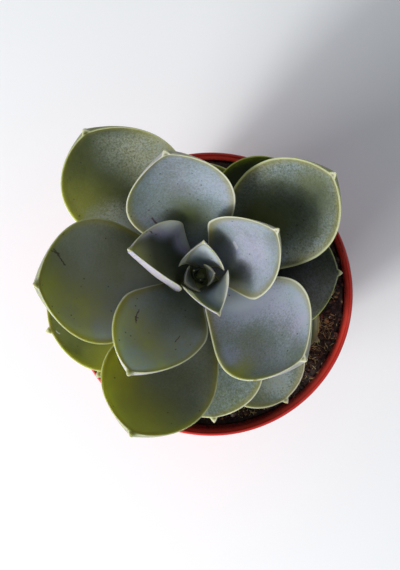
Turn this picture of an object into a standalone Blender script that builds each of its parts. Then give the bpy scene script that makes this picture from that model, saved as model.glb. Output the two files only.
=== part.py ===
"""A rosette succulent growing in a plain round plastic nursery pot.

Metres, +Z up. The origin is the middle of the pot's underside, where the pot rests.
The pot, the soil, the stem and each leaf are pieces of their own. The leaves sit on the stem
in a spiral, youngest at the top. Each leaf is a long closed skin whose rings are the leaf's
cross-sections: thick and narrow at the base, broad at the shoulders, with a small sharp point.
"""

import math
from dataclasses import dataclass

import bmesh
import bpy
from mathutils import Euler, Matrix, Vector, noise

MM = 0.001
GAP = 0.3 * MM

# Pot
POT_HEIGHT = 88 * MM
RIM_RADIUS = 52.5 * MM
RIM_WALL = 1.2 * MM
RIM_BAND = 18 * MM
RIM_TAPER = 0.7 * MM
STEP_WIDTH = 1.8 * MM
STEP_HEIGHT = 1.2 * MM
WALL = 1.1 * MM
BASE_RADIUS = 37 * MM
BASE_THICKNESS = 1.6 * MM
BASE_ROUNDING = 1.5 * MM
POT_STEPS = 60
DRAIN_HOLES = 6
DRAIN_HOLE_RADIUS = 3.5 * MM
DRAIN_CIRCLE_RADIUS = 24 * MM

# Soil
SOIL_LEVEL = POT_HEIGHT - 13 * MM
SOIL_SLOPE = Vector((0.03, 0.05))
SOIL_LUMP = 1.3 * MM
SOIL_LUMP_SIZE = 7 * MM
SOIL_RINGS = 11

# Stem
STEM_FOOT = Vector((-3.0, 5.0)) * MM
STEM_TOP = Vector((-4.0, 6.5)) * MM
STEM_DEPTH = 22 * MM
STEM_TIP_RADIUS = 0.7 * MM
STEM_FULL_RADIUS = 6.7 * MM
STEM_SWELL = 0.8
STEM_POINTS = 12
STEM_SPACING = 1.5

# Rosette
TOP_LEAF_HEIGHT = POT_HEIGHT + 33.5 * MM
INTERNODE = 1.25 * MM
GROWN_AGE = 0.6
LEAF_RINGS = 12
LEAF_SIDES = 12
MIDRIB_STEPS = 60
BASE_SPACING = 1.2
TIP_SPACING = 1.5


@dataclass(frozen=True)
class Leaf:
    """One leaf. Lengths are in millimetres, angles in degrees seen from above or from the side."""

    azimuth: float
    length: float
    width: float
    rise: float
    curl: float
    bend: float = 0
    roll: float = 0
    twist: float = 0
    shoulder: float = 0.61
    roundness: float = 0.57
    thick: float = 0.10
    cupping: float = 1


# From the heart outwards. The rise is the slope at the stem, and the curl is what it gains by
# the tip. A bend turns the tip sideways, a roll and a twist tip the blade about its midrib.
# The shoulder is the share of the length where the leaf is widest, the roundness is small for a
# blunt end, thick is the thickness as a share of the length, and the cupping multiplies how far
# the margins are lifted at the leaf's age.
LEAVES = (
    Leaf(273, 4, 3.5, rise=80, curl=10),
    Leaf(140, 5.5, 5, rise=76, curl=8, shoulder=0.5, roundness=0.7),
    Leaf(10, 7.5, 7.5, rise=72, curl=0, shoulder=0.55, roundness=0.65),
    Leaf(200, 8.5, 9, rise=72, curl=-4, shoulder=0.55, roundness=0.65),
    Leaf(85, 17.5, 15.5, rise=64, curl=-2, shoulder=0.44, roundness=0.75, cupping=1.4),
    Leaf(
        296, 22.5, 16.5, rise=81, curl=-36, roll=-9,
        shoulder=0.40, roundness=0.75, cupping=1.9,
    ),
    Leaf(
        156, 28.5, 23, rise=43, curl=2, bend=10, roll=28,
        shoulder=0.44, roundness=0.68, thick=0.18, cupping=1.85,
    ),
    Leaf(27, 37.5, 30, rise=50, curl=2, bend=12, shoulder=0.50),
    Leaf(232, 46.5, 31, rise=42, curl=6, bend=4, roll=9, shoulder=0.52),
    Leaf(103, 50.5, 36, rise=33, curl=26, bend=10, roll=-8),
    Leaf(320, 50.5, 38, rise=28, curl=32, bend=4),
    Leaf(183, 58.5, 42, rise=23, curl=28, bend=-1, roll=4),
    Leaf(39, 58.5, 37, rise=21, curl=30, bend=-4, roll=5),
    Leaf(249, 58.5, 39, rise=19, curl=28, bend=-9, roll=6),
    Leaf(129, 62.5, 42, rise=17, curl=28, bend=-1, roll=-12),
    Leaf(3, 42.5, 37, rise=12, curl=18, bend=-3),
    Leaf(198, 49.5, 43, rise=10, curl=-6, bend=3),
    Leaf(52, 44, 34, rise=8, curl=4),
    Leaf(275, 43, 38, rise=7, curl=-8),
    Leaf(140, 43.5, 34, rise=6, curl=2),
    Leaf(332, 39.5, 28, rise=1, curl=0),
    Leaf(223, 43.5, 32, rise=1, curl=2),
    Leaf(92, 35.5, 34, rise=1, curl=-4),
    Leaf(304, 47.5, 34, rise=-3, curl=-8, bend=2),
)

# Leaf form. Shares are of the leaf's own length, width or thickness
BASE_SHARE = 0.30
BASE_FLARE = 1.6
TIP_FALL = 2.2
LEAST_THICKNESS = 1.6 * MM
MOST_THICKNESS = 1.5
BASE_THICKNESS_SHARE = 0.62
TIP_THICKNESS_SHARE = 0.38
SECTION_FULLNESS = 2.6
UPPER_SHARE = 0.12
CUP_POWER = 2.2
BEND_POWER = 1.5
HEART_CUP = 0.60
OUTER_CUP = 0.18
POINT_WIDTH = 1.05
POINT_SPREAD = 0.09
POINT_BLUNTNESS = 0.05 * MM
LEAST_POINT = 0.5 * MM
LONGEST_POINT = 2.0 * MM
POINT_SHARE = 0.035
BASE_ROUNDING_SHARE = 0.07
ROLL_FULL_FROM = 0.40
CUP_FULL_FROM = 0.55
THICKEST_FROM = 0.35
THIN_FROM = 0.95
THINS_AFTER = 0.45

# Finishes: colour, roughness
POT_RED = (0.50, 0.035, 0.022)
POT_ROUGHNESS = 0.38
SOIL_BROWN = (0.045, 0.028, 0.018)
SOIL_ROUGHNESS = 0.95
STEM_BROWN = (0.16, 0.12, 0.06)
STEM_ROUGHNESS = 0.7
HEART_GREEN = Vector((0.20, 0.25, 0.22))
OUTER_GREEN = Vector((0.13, 0.16, 0.07))
LEAF_ROUGHNESS = 0.55


def clear_scene():
    """Removes whatever the scene holds."""
    for obj in list(bpy.data.objects):
        bpy.data.objects.remove(obj, do_unlink=True)


def new_collection(name):
    """A collection in the scene."""
    collection = bpy.data.collections.new(name)
    bpy.context.scene.collection.children.link(collection)
    return collection


def plain_material(name, colour, roughness):
    """A non-metal finish of one colour."""
    material = bpy.data.materials.new(name)
    material.use_nodes = True
    shader = material.node_tree.nodes["Principled BSDF"]
    shader.inputs["Base Color"].default_value = (*colour, 1)
    shader.inputs["Roughness"].default_value = roughness
    shader.inputs["Metallic"].default_value = 0
    material.diffuse_color = (*colour, 1)
    return material


def add_object(name, data, collection, material=None):
    """A named object in a collection, dressed in a material."""
    obj = bpy.data.objects.new(name, data)
    collection.objects.link(obj)
    if material:
        data.materials.append(material)
    return obj


def mesh_of(obj):
    """A plain mesh of the object with its modifiers applied. The object itself is removed."""
    graph = bpy.context.evaluated_depsgraph_get()
    mesh = bpy.data.meshes.new_from_object(obj.evaluated_get(graph))
    mesh.transform(obj.matrix_world)
    source = obj.data
    bpy.data.objects.remove(obj, do_unlink=True)
    bpy.data.meshes.remove(source)
    return mesh


def turned_mesh(name, profile, steps, collection):
    """The mesh that a profile of (radius, height) points leaves when it is turned about Z.

    The profile starts and ends on the axis.
    """
    outline = bpy.data.meshes.new(name)
    count = len(profile)
    edges = [(i, i + 1) for i in range(count - 1)]
    outline.from_pydata([(radius, 0, height) for radius, height in profile], edges, [])
    obj = add_object(name, outline, collection)
    screw = obj.modifiers.new("turn", "SCREW")
    screw.steps = steps
    screw.render_steps = steps
    screw.use_merge_vertices = True
    screw.merge_threshold = 0.00001
    bpy.context.view_layer.update()
    return mesh_of(obj)


def cylinder_cutter(name, radius, bottom, top, place, collection):
    """An upright cylinder that a Boolean cuts with."""
    mesh = bpy.data.meshes.new(name)
    shape = bmesh.new()
    bmesh.ops.create_cone(
        shape, cap_ends=True, segments=16, radius1=radius, radius2=radius, depth=top - bottom
    )
    shape.to_mesh(mesh)
    shape.free()
    obj = add_object(name, mesh, collection)
    obj.location = (place.x, place.y, (bottom + top) / 2)
    obj.hide_render = True
    obj.display_type = "WIRE"
    return obj


def cut(obj, cutter):
    """Cuts the cutter's shape out of the object."""
    boolean = obj.modifiers.new("cut " + cutter.name, "BOOLEAN")
    boolean.operation = "DIFFERENCE"
    boolean.object = cutter


def shade_round(mesh, angle=40):
    """Smooth shading with sharp edges kept."""
    mesh.shade_smooth()
    mesh.set_sharp_from_angle(angle=math.radians(angle))


def smooth_step(share):
    """0 to 1 with a soft start and end."""
    share = min(max(share, 0), 1)
    return share * share * (3 - 2 * share)


def mix(low, high, share):
    """The value that lies the given share of the way from low to high."""
    return low + (high - low) * share


def side_radius(height):
    """Outer radius of the pot's tapered side below the rim band."""
    top_radius = RIM_RADIUS - RIM_TAPER - STEP_WIDTH
    top_height = POT_HEIGHT - RIM_BAND - STEP_HEIGHT
    return mix(BASE_RADIUS, top_radius, height / top_height)


def inner_profile():
    """The pot's inner face as (radius, height) points, from the floor's corner up to the lip."""
    step_height = POT_HEIGHT - RIM_BAND
    inner_top = side_radius(step_height - STEP_HEIGHT) - WALL
    band_foot = RIM_RADIUS - RIM_TAPER - RIM_WALL
    return [
        (side_radius(BASE_THICKNESS) - WALL - BASE_ROUNDING, BASE_THICKNESS),
        (side_radius(BASE_THICKNESS + BASE_ROUNDING) - WALL, BASE_THICKNESS + BASE_ROUNDING),
        (inner_top, step_height - STEP_HEIGHT + WALL),
        (band_foot, step_height + WALL),
        (RIM_RADIUS - RIM_WALL, POT_HEIGHT - RIM_WALL / 2),
    ]


def make_pot(parts, cutters):
    """Round pot with a band under its lip, a step below the band, a tapered side and drain holes."""
    step_height = POT_HEIGHT - RIM_BAND
    lip_radius = RIM_WALL / 2
    lip_centre = RIM_RADIUS - lip_radius
    profile = [(0, BASE_THICKNESS)]
    profile += inner_profile()
    for turn in (135, 90, 45):
        angle = math.radians(turn)
        radius = lip_centre + lip_radius * math.cos(angle)
        profile.append((radius, POT_HEIGHT - lip_radius + lip_radius * math.sin(angle)))
    profile += [
        (RIM_RADIUS, POT_HEIGHT - lip_radius),
        (RIM_RADIUS - RIM_TAPER, step_height),
        (side_radius(step_height - STEP_HEIGHT), step_height - STEP_HEIGHT),
        (side_radius(BASE_ROUNDING), BASE_ROUNDING),
        (side_radius(0) - BASE_ROUNDING, 0),
        (0, 0),
    ]
    mesh = turned_mesh("pot", profile, POT_STEPS, parts)
    shade_round(mesh)
    pot = add_object("pot", mesh, parts, plain_material("pot plastic", POT_RED, POT_ROUGHNESS))
    for hole in range(DRAIN_HOLES):
        angle = math.tau * hole / DRAIN_HOLES
        place = Vector((math.cos(angle), math.sin(angle))) * DRAIN_CIRCLE_RADIUS
        name = f"drain hole {hole + 1}"
        depth = BASE_THICKNESS
        cut(pot, cylinder_cutter(name, DRAIN_HOLE_RADIUS, -depth, 2 * depth, place, cutters))
    return pot


def soil_height(x, y):
    """Height of the soil's lumpy surface, which falls a little towards one side."""
    lump = noise.noise(Vector((x, y, 0)) / SOIL_LUMP_SIZE)
    return SOIL_LEVEL + SOIL_SLOPE.dot(Vector((x, y))) + SOIL_LUMP * lump


def make_soil(parts, cutters):
    """Soil that fills the pot to below its lip, with a plain hole for the stem."""
    wall = [(radius - GAP, height) for radius, height in inner_profile()[:4]]
    wall[0] = (wall[0][0], BASE_THICKNESS + GAP)
    edge = wall[-1][0]
    profile = [(edge * ring / SOIL_RINGS, SOIL_LEVEL) for ring in range(SOIL_RINGS + 1)]
    profile += reversed(wall)
    profile.append((0, BASE_THICKNESS + GAP))
    mesh = turned_mesh("soil", profile, POT_STEPS, parts)
    for vertex in mesh.vertices:
        if abs(vertex.co.z - SOIL_LEVEL) < GAP:
            vertex.co.z = soil_height(vertex.co.x, vertex.co.y)
    soil = add_object("soil", mesh, parts, plain_material("soil", SOIL_BROWN, SOIL_ROUGHNESS))
    bottom = SOIL_LEVEL - STEM_DEPTH - GAP
    radius = STEM_FULL_RADIUS + GAP
    cut(soil, cylinder_cutter("stem hole", radius, bottom, POT_HEIGHT, STEM_FOOT, cutters))
    return soil


def leaf_height(number):
    """Height on the stem where leaf number 0, 1, 2 and so on is attached."""
    return TOP_LEAF_HEIGHT - INTERNODE * number


def stem_place(height):
    """Middle of the stem at a height. The stem is upright in the soil and leans above it."""
    share = (height - SOIL_LEVEL) / (TOP_LEAF_HEIGHT - SOIL_LEVEL)
    return STEM_FOOT.lerp(STEM_TOP, min(max(share, 0), 1))


def age_of(number):
    """0 for the youngest leaf to 1 for the oldest."""
    return number / (len(LEAVES) - 1)


def stem_radius(height):
    """Radius of the stem, which thins towards the heart."""
    number = (TOP_LEAF_HEIGHT - height) / INTERNODE
    share = min(max(age_of(number) / GROWN_AGE, 0), 1)
    return mix(STEM_TIP_RADIUS, STEM_FULL_RADIUS, share**STEM_SWELL)


def make_stem(parts):
    """The stem, from its foot in the soil to the heart of the rosette."""
    bottom = SOIL_LEVEL - STEM_DEPTH
    curve = bpy.data.curves.new("stem", "CURVE")
    curve.dimensions = "3D"
    curve.bevel_depth = 1
    curve.bevel_resolution = 2
    curve.use_fill_caps = True
    spline = curve.splines.new("POLY")
    spline.points.add(STEM_POINTS - 1)
    for index, point in enumerate(spline.points):
        share = 1 - (1 - index / (STEM_POINTS - 1)) ** STEM_SPACING
        height = mix(bottom, TOP_LEAF_HEIGHT - INTERNODE / 2, share)
        place = stem_place(height)
        point.co = (place.x, place.y, height, 1)
        point.radius = stem_radius(height)
    finish = plain_material("stem", STEM_BROWN, STEM_ROUGHNESS)
    return add_object("stem", curve, parts, finish)


def outline_share(leaf, along):
    """Half width of the blade as a share of its widest, at a share along its length."""
    if along >= 1:
        return 0
    if along < leaf.shoulder:
        return mix(BASE_SHARE, 1, 1 - (1 - along / leaf.shoulder) ** BASE_FLARE)
    beyond = (along - leaf.shoulder) / (1 - leaf.shoulder)
    return (1 - beyond**TIP_FALL) ** leaf.roundness


def point_length(leaf):
    """Length of the small point beyond the blade."""
    return min(LEAST_POINT + POINT_SHARE * leaf.length * MM, LONGEST_POINT)


def half_width(leaf, distance):
    """Half width of blade and point together, with the base rounded off."""
    length = leaf.length * MM
    left = length + point_length(leaf) - distance
    blade = leaf.width * MM / 2 * outline_share(leaf, distance / length)
    point = POINT_WIDTH * left * math.exp(-left / (POINT_SPREAD * length)) + POINT_BLUNTNESS
    return math.hypot(blade, point) * base_rounding(leaf, distance)


def base_rounding(leaf, distance):
    """0 at the very base to 1 a little way out, along a quarter circle."""
    share = min(distance / (BASE_ROUNDING_SHARE * leaf.length * MM), 1)
    return math.sqrt(1 - (1 - share) ** 2)


def thickness(leaf, distance):
    """Thickness at the midrib."""
    along = distance / (leaf.length * MM)
    full = max(leaf.thick * leaf.length * MM, LEAST_THICKNESS)
    growth = mix(BASE_THICKNESS_SHARE, 1, smooth_step(along / THICKEST_FROM))
    thinned = smooth_step((along - THINS_AFTER) / (THIN_FROM - THINS_AFTER))
    thick = full * growth * mix(1, TIP_THICKNESS_SHARE, thinned) * base_rounding(leaf, distance)
    return min(thick, MOST_THICKNESS * half_width(leaf, distance))


def cup_of(number):
    """How far the margins are lifted. The young leaves wrap the heart, the old ones lie flat."""
    return mix(HEART_CUP, OUTER_CUP, min(age_of(number) / GROWN_AGE, 1))


def midrib(leaf):
    """Points and frames along the leaf's middle, in the leaf's own upright plane.

    Each entry is (place, across, up): the place starts at the origin and heads along +X.
    """
    total = leaf.length * MM + point_length(leaf)
    step = total / MIDRIB_STEPS
    place = Vector((0, 0, 0))
    frames = []
    for index in range(MIDRIB_STEPS + 1):
        share = index * step / (leaf.length * MM)
        pitch = math.radians(leaf.rise + leaf.curl * share)
        yaw = math.radians(leaf.bend * share**BEND_POWER)
        tilt = math.radians(leaf.roll + leaf.twist * min(share, 1))
        tilt *= smooth_step(share / ROLL_FULL_FROM)
        frame = (
            Matrix.Rotation(yaw, 3, "Z")
            @ Matrix.Rotation(-pitch, 3, "Y")
            @ Matrix.Rotation(tilt, 3, "X")
        )
        frames.append((place.copy(), frame @ Vector((0, 1, 0)), frame @ Vector((0, 0, 1))))
        place += frame @ Vector((step, 0, 0))
    return frames


def leaf_point(leaf, cup, frames, along, turn):
    """A point of the skin: along runs from base 0 to tip 1, turn goes round the section."""
    share = 1 - (1 - along**BASE_SPACING) ** TIP_SPACING
    place_index = share * MIDRIB_STEPS
    low = min(int(place_index), MIDRIB_STEPS - 1)
    place, across, up = (
        first.lerp(second, place_index - low)
        for first, second in zip(frames[low], frames[low + 1])
    )
    distance = share * (leaf.length * MM + point_length(leaf))
    half = half_width(leaf, distance)
    side = math.cos(turn)
    fullness = math.sqrt(max(1 - abs(side) ** SECTION_FULLNESS, 0))
    face = UPPER_SHARE if math.sin(turn) >= 0 else UPPER_SHARE - 1
    blade_share = min(distance / (leaf.length * MM), 1)
    lift = cup * smooth_step(blade_share / CUP_FULL_FROM) * half * abs(side) ** CUP_POWER
    return place + across * half * side + up * (lift + face * fullness * thickness(leaf, distance))


def leaf_mesh(leaf, number):
    """A sphere's rings, drawn out along the midrib and shaped into the leaf's sections."""
    mesh = bpy.data.meshes.new(f"leaf {number + 1}")
    frames = midrib(leaf)
    cup = cup_of(number) * leaf.cupping
    skin = bmesh.new()
    bmesh.ops.create_uvsphere(skin, u_segments=LEAF_SIDES, v_segments=LEAF_RINGS, radius=1)
    for vertex in skin.verts:
        along = math.acos(min(max(-vertex.co.z, -1), 1)) / math.pi
        turn = math.atan2(vertex.co.y, vertex.co.x)
        vertex.co = leaf_point(leaf, cup, frames, along, turn)
    bmesh.ops.triangulate(skin, faces=skin.faces[:])
    skin.to_mesh(mesh)
    skin.free()
    shade_round(mesh, angle=60)
    return mesh


def make_leaf(leaf, number, parts):
    """One leaf, set against the stem at its own height and turned to its own azimuth."""
    colour = HEART_GREEN.lerp(OUTER_GREEN, age_of(number))
    finish = plain_material(f"leaf {number + 1}", colour, LEAF_ROUGHNESS)
    obj = add_object(f"leaf_{number + 1:02d}", leaf_mesh(leaf, number), parts, finish)
    height = leaf_height(number)
    axis = stem_place(height)
    outward = Matrix.Rotation(math.radians(leaf.azimuth), 3, "Z") @ Vector((1, 0, 0))
    seat = outward * (stem_radius(height) + GAP)
    obj.location = Vector((axis.x, axis.y, height)) + seat
    obj.rotation_euler = Euler((0, 0, math.radians(leaf.azimuth)))
    return obj


def main():
    clear_scene()
    parts = new_collection("potted rosette succulent")
    cutters = new_collection("cutters")
    make_pot(parts, cutters)
    make_soil(parts, cutters)
    make_stem(parts)
    for number, leaf in enumerate(LEAVES):
        make_leaf(leaf, number, parts)


main()
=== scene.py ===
"""Looks of a rosette succulent in a round red plastic nursery pot.

Metres, +Z up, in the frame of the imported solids, which the finer pieces replace one by one.
The leaves stand on the stem in a spiral. Each is a closed skin of rings that follows the same
rules as its solid, with the bead of its margin and the small unevenness of its flesh added.
"""

import logging
import math
import sys
from collections.abc import Callable
from dataclasses import dataclass, field
from enum import Enum

import bpy
from mathutils import Matrix, Vector, noise


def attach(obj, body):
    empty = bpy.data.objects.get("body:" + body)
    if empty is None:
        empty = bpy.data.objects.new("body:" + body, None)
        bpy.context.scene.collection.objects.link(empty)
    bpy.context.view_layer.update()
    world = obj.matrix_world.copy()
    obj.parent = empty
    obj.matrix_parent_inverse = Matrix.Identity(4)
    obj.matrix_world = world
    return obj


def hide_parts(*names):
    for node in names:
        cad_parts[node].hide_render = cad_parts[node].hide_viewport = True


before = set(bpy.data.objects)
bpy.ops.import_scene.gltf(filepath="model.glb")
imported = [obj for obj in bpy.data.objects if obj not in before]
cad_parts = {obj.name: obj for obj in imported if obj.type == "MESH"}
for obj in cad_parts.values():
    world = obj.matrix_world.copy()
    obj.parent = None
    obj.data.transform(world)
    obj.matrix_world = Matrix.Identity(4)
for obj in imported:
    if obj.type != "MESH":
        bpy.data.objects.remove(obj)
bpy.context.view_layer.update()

LOG = logging.getLogger("potted succulent")
MM = 0.001
Colour = tuple[float, float, float]


class Slot(Enum):
    """Material slots of the record."""

    POT = "pot"
    SOIL = "soil"
    STEM = "stem"
    LEAF = "leaf"


class Trait(Enum):
    """Point attributes that the finishes read."""

    EDGE = "edge_mm"
    ALONG = "along"
    UNDER = "under"
    BLOOM = "bloom"
    GLOW = "glow"
    MARGIN = "margin_mm"
    PALE_MARGIN = "pale_margin"
    TINT = "tint"
    GRAIN = "grain"
    PAINTED_SHADE = "deep"
    LILAC_BACK = "lilac_back"
    NUMBER = "leaf_number"
    DRY = "dry"
    INSIDE = "inside"
    TONE = "tone"


class Draw(Enum):
    """Seeds of the random values."""

    CRUMB_SIZE = 11
    CRUMB_STRETCH = 12
    CRUMB_TURN = 13
    CRUMB_TONE = 14
    FIBRE_LENGTH = 22
    FIBRE_TURN = 23
    FIBRE_TONE = 24


def smooth_step(share: float) -> float:
    """0 to 1 with a soft start and end."""
    share = min(max(share, 0.0), 1.0)
    return share * share * (3 - 2 * share)


def mix(low: float, high: float, share: float) -> float:
    """The value that lies the given share of the way from low to high."""
    return low + (high - low) * share


class Graph:
    """The node graph of one material, with short calls for what the finishes use."""

    # Sockets of the Mix node where it blends colours
    MIX_SHARE, MIX_FIRST, MIX_SECOND, MIX_RESULT = 0, 6, 7, 2

    def __init__(self, name: str) -> None:
        """Starts a material with one Principled shader.

        Args:
            name: The material's name.
        """
        self.material = bpy.data.materials.new(name)
        self.material.use_nodes = True
        self.tree = self.material.node_tree
        self.shader = self.tree.nodes["Principled BSDF"]
        self.place = self.tree.nodes.new("ShaderNodeTexCoord").outputs["Object"]

    def link(self, value: object, socket: bpy.types.NodeSocket) -> None:
        """Feeds an input from another socket, or sets it to a plain number or colour.

        Args:
            value: A socket, a number or a colour.
            socket: The input.
        """
        if isinstance(value, bpy.types.NodeSocket):
            self.tree.links.new(value, socket)
        elif isinstance(value, tuple) and len(value) == 3 and socket.type == "RGBA":
            socket.default_value = (*value, 1.0)
        else:
            socket.default_value = value

    def set(self, name: str, value: object) -> None:
        """Feeds or sets a named input of the shader."""
        self.link(value, self.shader.inputs[name])

    def trait(self, trait: Trait) -> bpy.types.NodeSocket:
        """Reads a point attribute.

        Args:
            trait: The attribute.

        Returns:
            Its value.
        """
        node = self.tree.nodes.new("ShaderNodeAttribute")
        node.attribute_name = trait.value
        return node.outputs["Fac"]

    def axis(self, name: str) -> bpy.types.NodeSocket:
        """Reads one coordinate of the point.

        Args:
            name: X, Y or Z.

        Returns:
            The coordinate in metres.
        """
        node = self.tree.nodes.new("ShaderNodeSeparateXYZ")
        self.link(self.place, node.inputs[0])
        return node.outputs[name]

    def stretched(self, scale: tuple[float, float, float]) -> bpy.types.NodeSocket:
        """Stretches the point's place, so that a pattern read there is stretched too.

        Args:
            scale: Factors along X, Y and Z.

        Returns:
            The place.
        """
        node = self.tree.nodes.new("ShaderNodeMapping")
        self.link(self.place, node.inputs["Vector"])
        node.inputs["Scale"].default_value = scale
        return node.outputs[0]

    def noise(
        self,
        size: float,
        detail: float = 2.0,
        rough: float = 0.5,
        shift: float = 0.0,
        place: bpy.types.NodeSocket | None = None,
    ) -> bpy.types.NodeSocket:
        """Soft noise from 0 to 1.

        Args:
            size: Size of its largest patches, in metres.
            detail: How many finer layers it has.
            rough: Weight of the finer layers.
            shift: Moves the pattern, so that two of one size differ.
            place: Where it is read, the plain place if left out.

        Returns:
            The noise's value.
        """
        node = self.tree.nodes.new("ShaderNodeTexNoise")
        node.noise_dimensions = "4D"
        self.link(place or self.place, node.inputs["Vector"])
        node.inputs["W"].default_value = shift
        node.inputs["Scale"].default_value = 1 / size
        node.inputs["Detail"].default_value = detail
        node.inputs["Roughness"].default_value = rough
        return node.outputs[0]

    def spots(self, size: float, reach: float, feather: float = 0.1) -> bpy.types.NodeSocket:
        """Round spots, one in each cell of a size.

        Args:
            size: Size of the cells, in metres.
            reach: Radius of a spot as a share of the cell.
            feather: Softness of its edge as a share of the cell.

        Returns:
            1 within a spot and 0 outside.
        """
        node = self.tree.nodes.new("ShaderNodeTexVoronoi")
        self.link(self.place, node.inputs["Vector"])
        node.inputs["Scale"].default_value = 1 / size
        return self.step(node.outputs["Distance"], reach + feather, reach)

    def vector(
        self, kind: str, first: object, second: object = (0.0, 0.0, 0.0)
    ) -> bpy.types.NodeSocket:
        """Works with one or two vectors.

        Args:
            kind: Blender's name of the operation, such as SUBTRACT, SCALE or DISTANCE.
            first: A socket or a vector.
            second: The same, or the factor for SCALE.

        Returns:
            The result.
        """
        node = self.tree.nodes.new("ShaderNodeVectorMath")
        node.operation = kind
        self.link(first, node.inputs[0])
        self.link(second, node.inputs["Scale" if kind == "SCALE" else 1])
        return next(socket for socket in node.outputs if socket.enabled)

    def flat_place(self, size: float, waver: float) -> bpy.types.NodeSocket:
        """The point's place as seen from above, shifted a little this way and that.

        Args:
            size: Size of the shifts' waves, in metres.
            waver: Most that a point is shifted.

        Returns:
            The place.
        """
        node = self.tree.nodes.new("ShaderNodeTexNoise")
        self.link(self.place, node.inputs["Vector"])
        node.inputs["Scale"].default_value = 1 / size
        shift = self.vector("SUBTRACT", node.outputs["Color"], (0.5, 0.5, 0.5))
        shifted = self.vector("ADD", self.place, self.vector("SCALE", shift, waver))
        return self.vector("MULTIPLY", shifted, (1.0, 1.0, 0.0))

    def near_line(
        self,
        place: bpy.types.NodeSocket,
        start: tuple[float, float],
        end: tuple[float, float],
        width: float,
    ) -> bpy.types.NodeSocket:
        """A short line.

        Args:
            place: The point's place as seen from above.
            start: Where the line starts, in millimetres.
            end: Where it ends.
            width: Distance at which it has faded out, in metres.

        Returns:
            1 on the line and 0 beside it.
        """
        first = Vector((*start, 0)) * MM
        along = Vector((*end, 0)) * MM - first
        unit = tuple(along.normalized())
        from_first = self.vector("SUBTRACT", place, tuple(first))
        passed = self.vector("DOT_PRODUCT", from_first, unit)
        passed = self.sum("MINIMUM", self.sum("MAXIMUM", passed, 0.0), along.length)
        nearest = self.vector("SCALE", unit, passed)
        return self.step(self.vector("DISTANCE", from_first, nearest), width, 0.4 * width)

    def step(self, value: object, start: float, end: float) -> bpy.types.NodeSocket:
        """0 up to the start and 1 from the end on, with a soft way between.

        Args:
            value: What is measured.
            start: Where it leaves 0.
            end: Where it reaches 1, which may be below the start.

        Returns:
            The share.
        """
        node = self.tree.nodes.new("ShaderNodeMapRange")
        node.interpolation_type = "SMOOTHSTEP"
        flipped = start > end
        self.link(value, node.inputs["Value"])
        node.inputs["From Min"].default_value = min(start, end)
        node.inputs["From Max"].default_value = max(start, end)
        node.inputs["To Min"].default_value = 1.0 if flipped else 0.0
        node.inputs["To Max"].default_value = 0.0 if flipped else 1.0
        return node.outputs["Result"]

    def reach(self, value: object, low: float, high: float) -> bpy.types.NodeSocket:
        """Spreads a value from 0 to 1 evenly between two others.

        Args:
            value: The value.
            low: The result where it is 0.
            high: The result where it is 1.

        Returns:
            The result.
        """
        node = self.tree.nodes.new("ShaderNodeMapRange")
        self.link(value, node.inputs["Value"])
        node.inputs["To Min"].default_value = low
        node.inputs["To Max"].default_value = high
        return node.outputs["Result"]

    def sum(self, kind: str, *values: object) -> bpy.types.NodeSocket:
        """Joins two or more values with one operation, such as ADD or MULTIPLY.

        Args:
            kind: Blender's name of the operation.
            values: Sockets or numbers.

        Returns:
            The result.
        """
        total = values[0]
        for value in values[1:]:
            node = self.tree.nodes.new("ShaderNodeMath")
            node.operation = kind
            self.link(total, node.inputs[0])
            self.link(value, node.inputs[1])
            total = node.outputs[0]
        return total

    def blend(self, share: object, first: object, second: object) -> bpy.types.NodeSocket:
        """Blends two colours.

        Args:
            share: How much there is of the second.
            first: The colour where the share is 0.
            second: The colour where it is 1.

        Returns:
            The blend.
        """
        node = self.tree.nodes.new("ShaderNodeMix")
        node.data_type = "RGBA"
        self.link(share, node.inputs[self.MIX_SHARE])
        self.link(first, node.inputs[self.MIX_FIRST])
        self.link(second, node.inputs[self.MIX_SECOND])
        return node.outputs[self.MIX_RESULT]

    def relief(
        self, height: object, depth: float, under: bpy.types.NodeSocket | None = None
    ) -> bpy.types.NodeSocket:
        """A bumped normal.

        Args:
            height: The pattern, from 0 to 1.
            depth: How high 1 stands above 0, in metres.
            under: The normal that it is laid over.

        Returns:
            The new normal.
        """
        node = self.tree.nodes.new("ShaderNodeBump")
        node.inputs["Distance"].default_value = depth
        self.link(height, node.inputs["Height"])
        if under is not None:
            self.link(under, node.inputs["Normal"])
        return node.outputs[0]


class Scar(Enum):
    """Colours of the marks that leaves bear."""

    PURPLE = (0.070, 0.026, 0.048)
    BROWN = (0.060, 0.044, 0.026)
    PALE = (0.380, 0.380, 0.400)
    OLIVE = (0.180, 0.150, 0.022)


@dataclass(frozen=True)
class View:
    """The camera straight above, and how the photograph's pixels lie over the object."""

    camera: Vector = Vector((-4.107 * MM, 3.404 * MM, 488 * MM))
    middle: tuple[float, float] = (200, 285)
    focal_length: float = 1081

    def under(self, pixel: tuple[float, float], height: float) -> tuple[float, float]:
        """Finds what lies under a pixel.

        Args:
            pixel: The pixel, counted to the right and down from the upper left corner.
            height: Height of the surface there, in metres.

        Returns:
            The place as seen from above, in millimetres.
        """
        scale = (self.camera.z - height) / self.focal_length
        x = self.camera.x + (pixel[0] - self.middle[0]) * scale
        y = self.camera.y - (pixel[1] - self.middle[1]) * scale
        return x / MM, y / MM


@dataclass(frozen=True)
class Mark:
    """A scratch on one leaf, between two pixels, with its height and width in millimetres."""

    leaf: int
    start: tuple[float, float]
    end: tuple[float, float]
    height: float
    width: float
    scar: Scar


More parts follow.
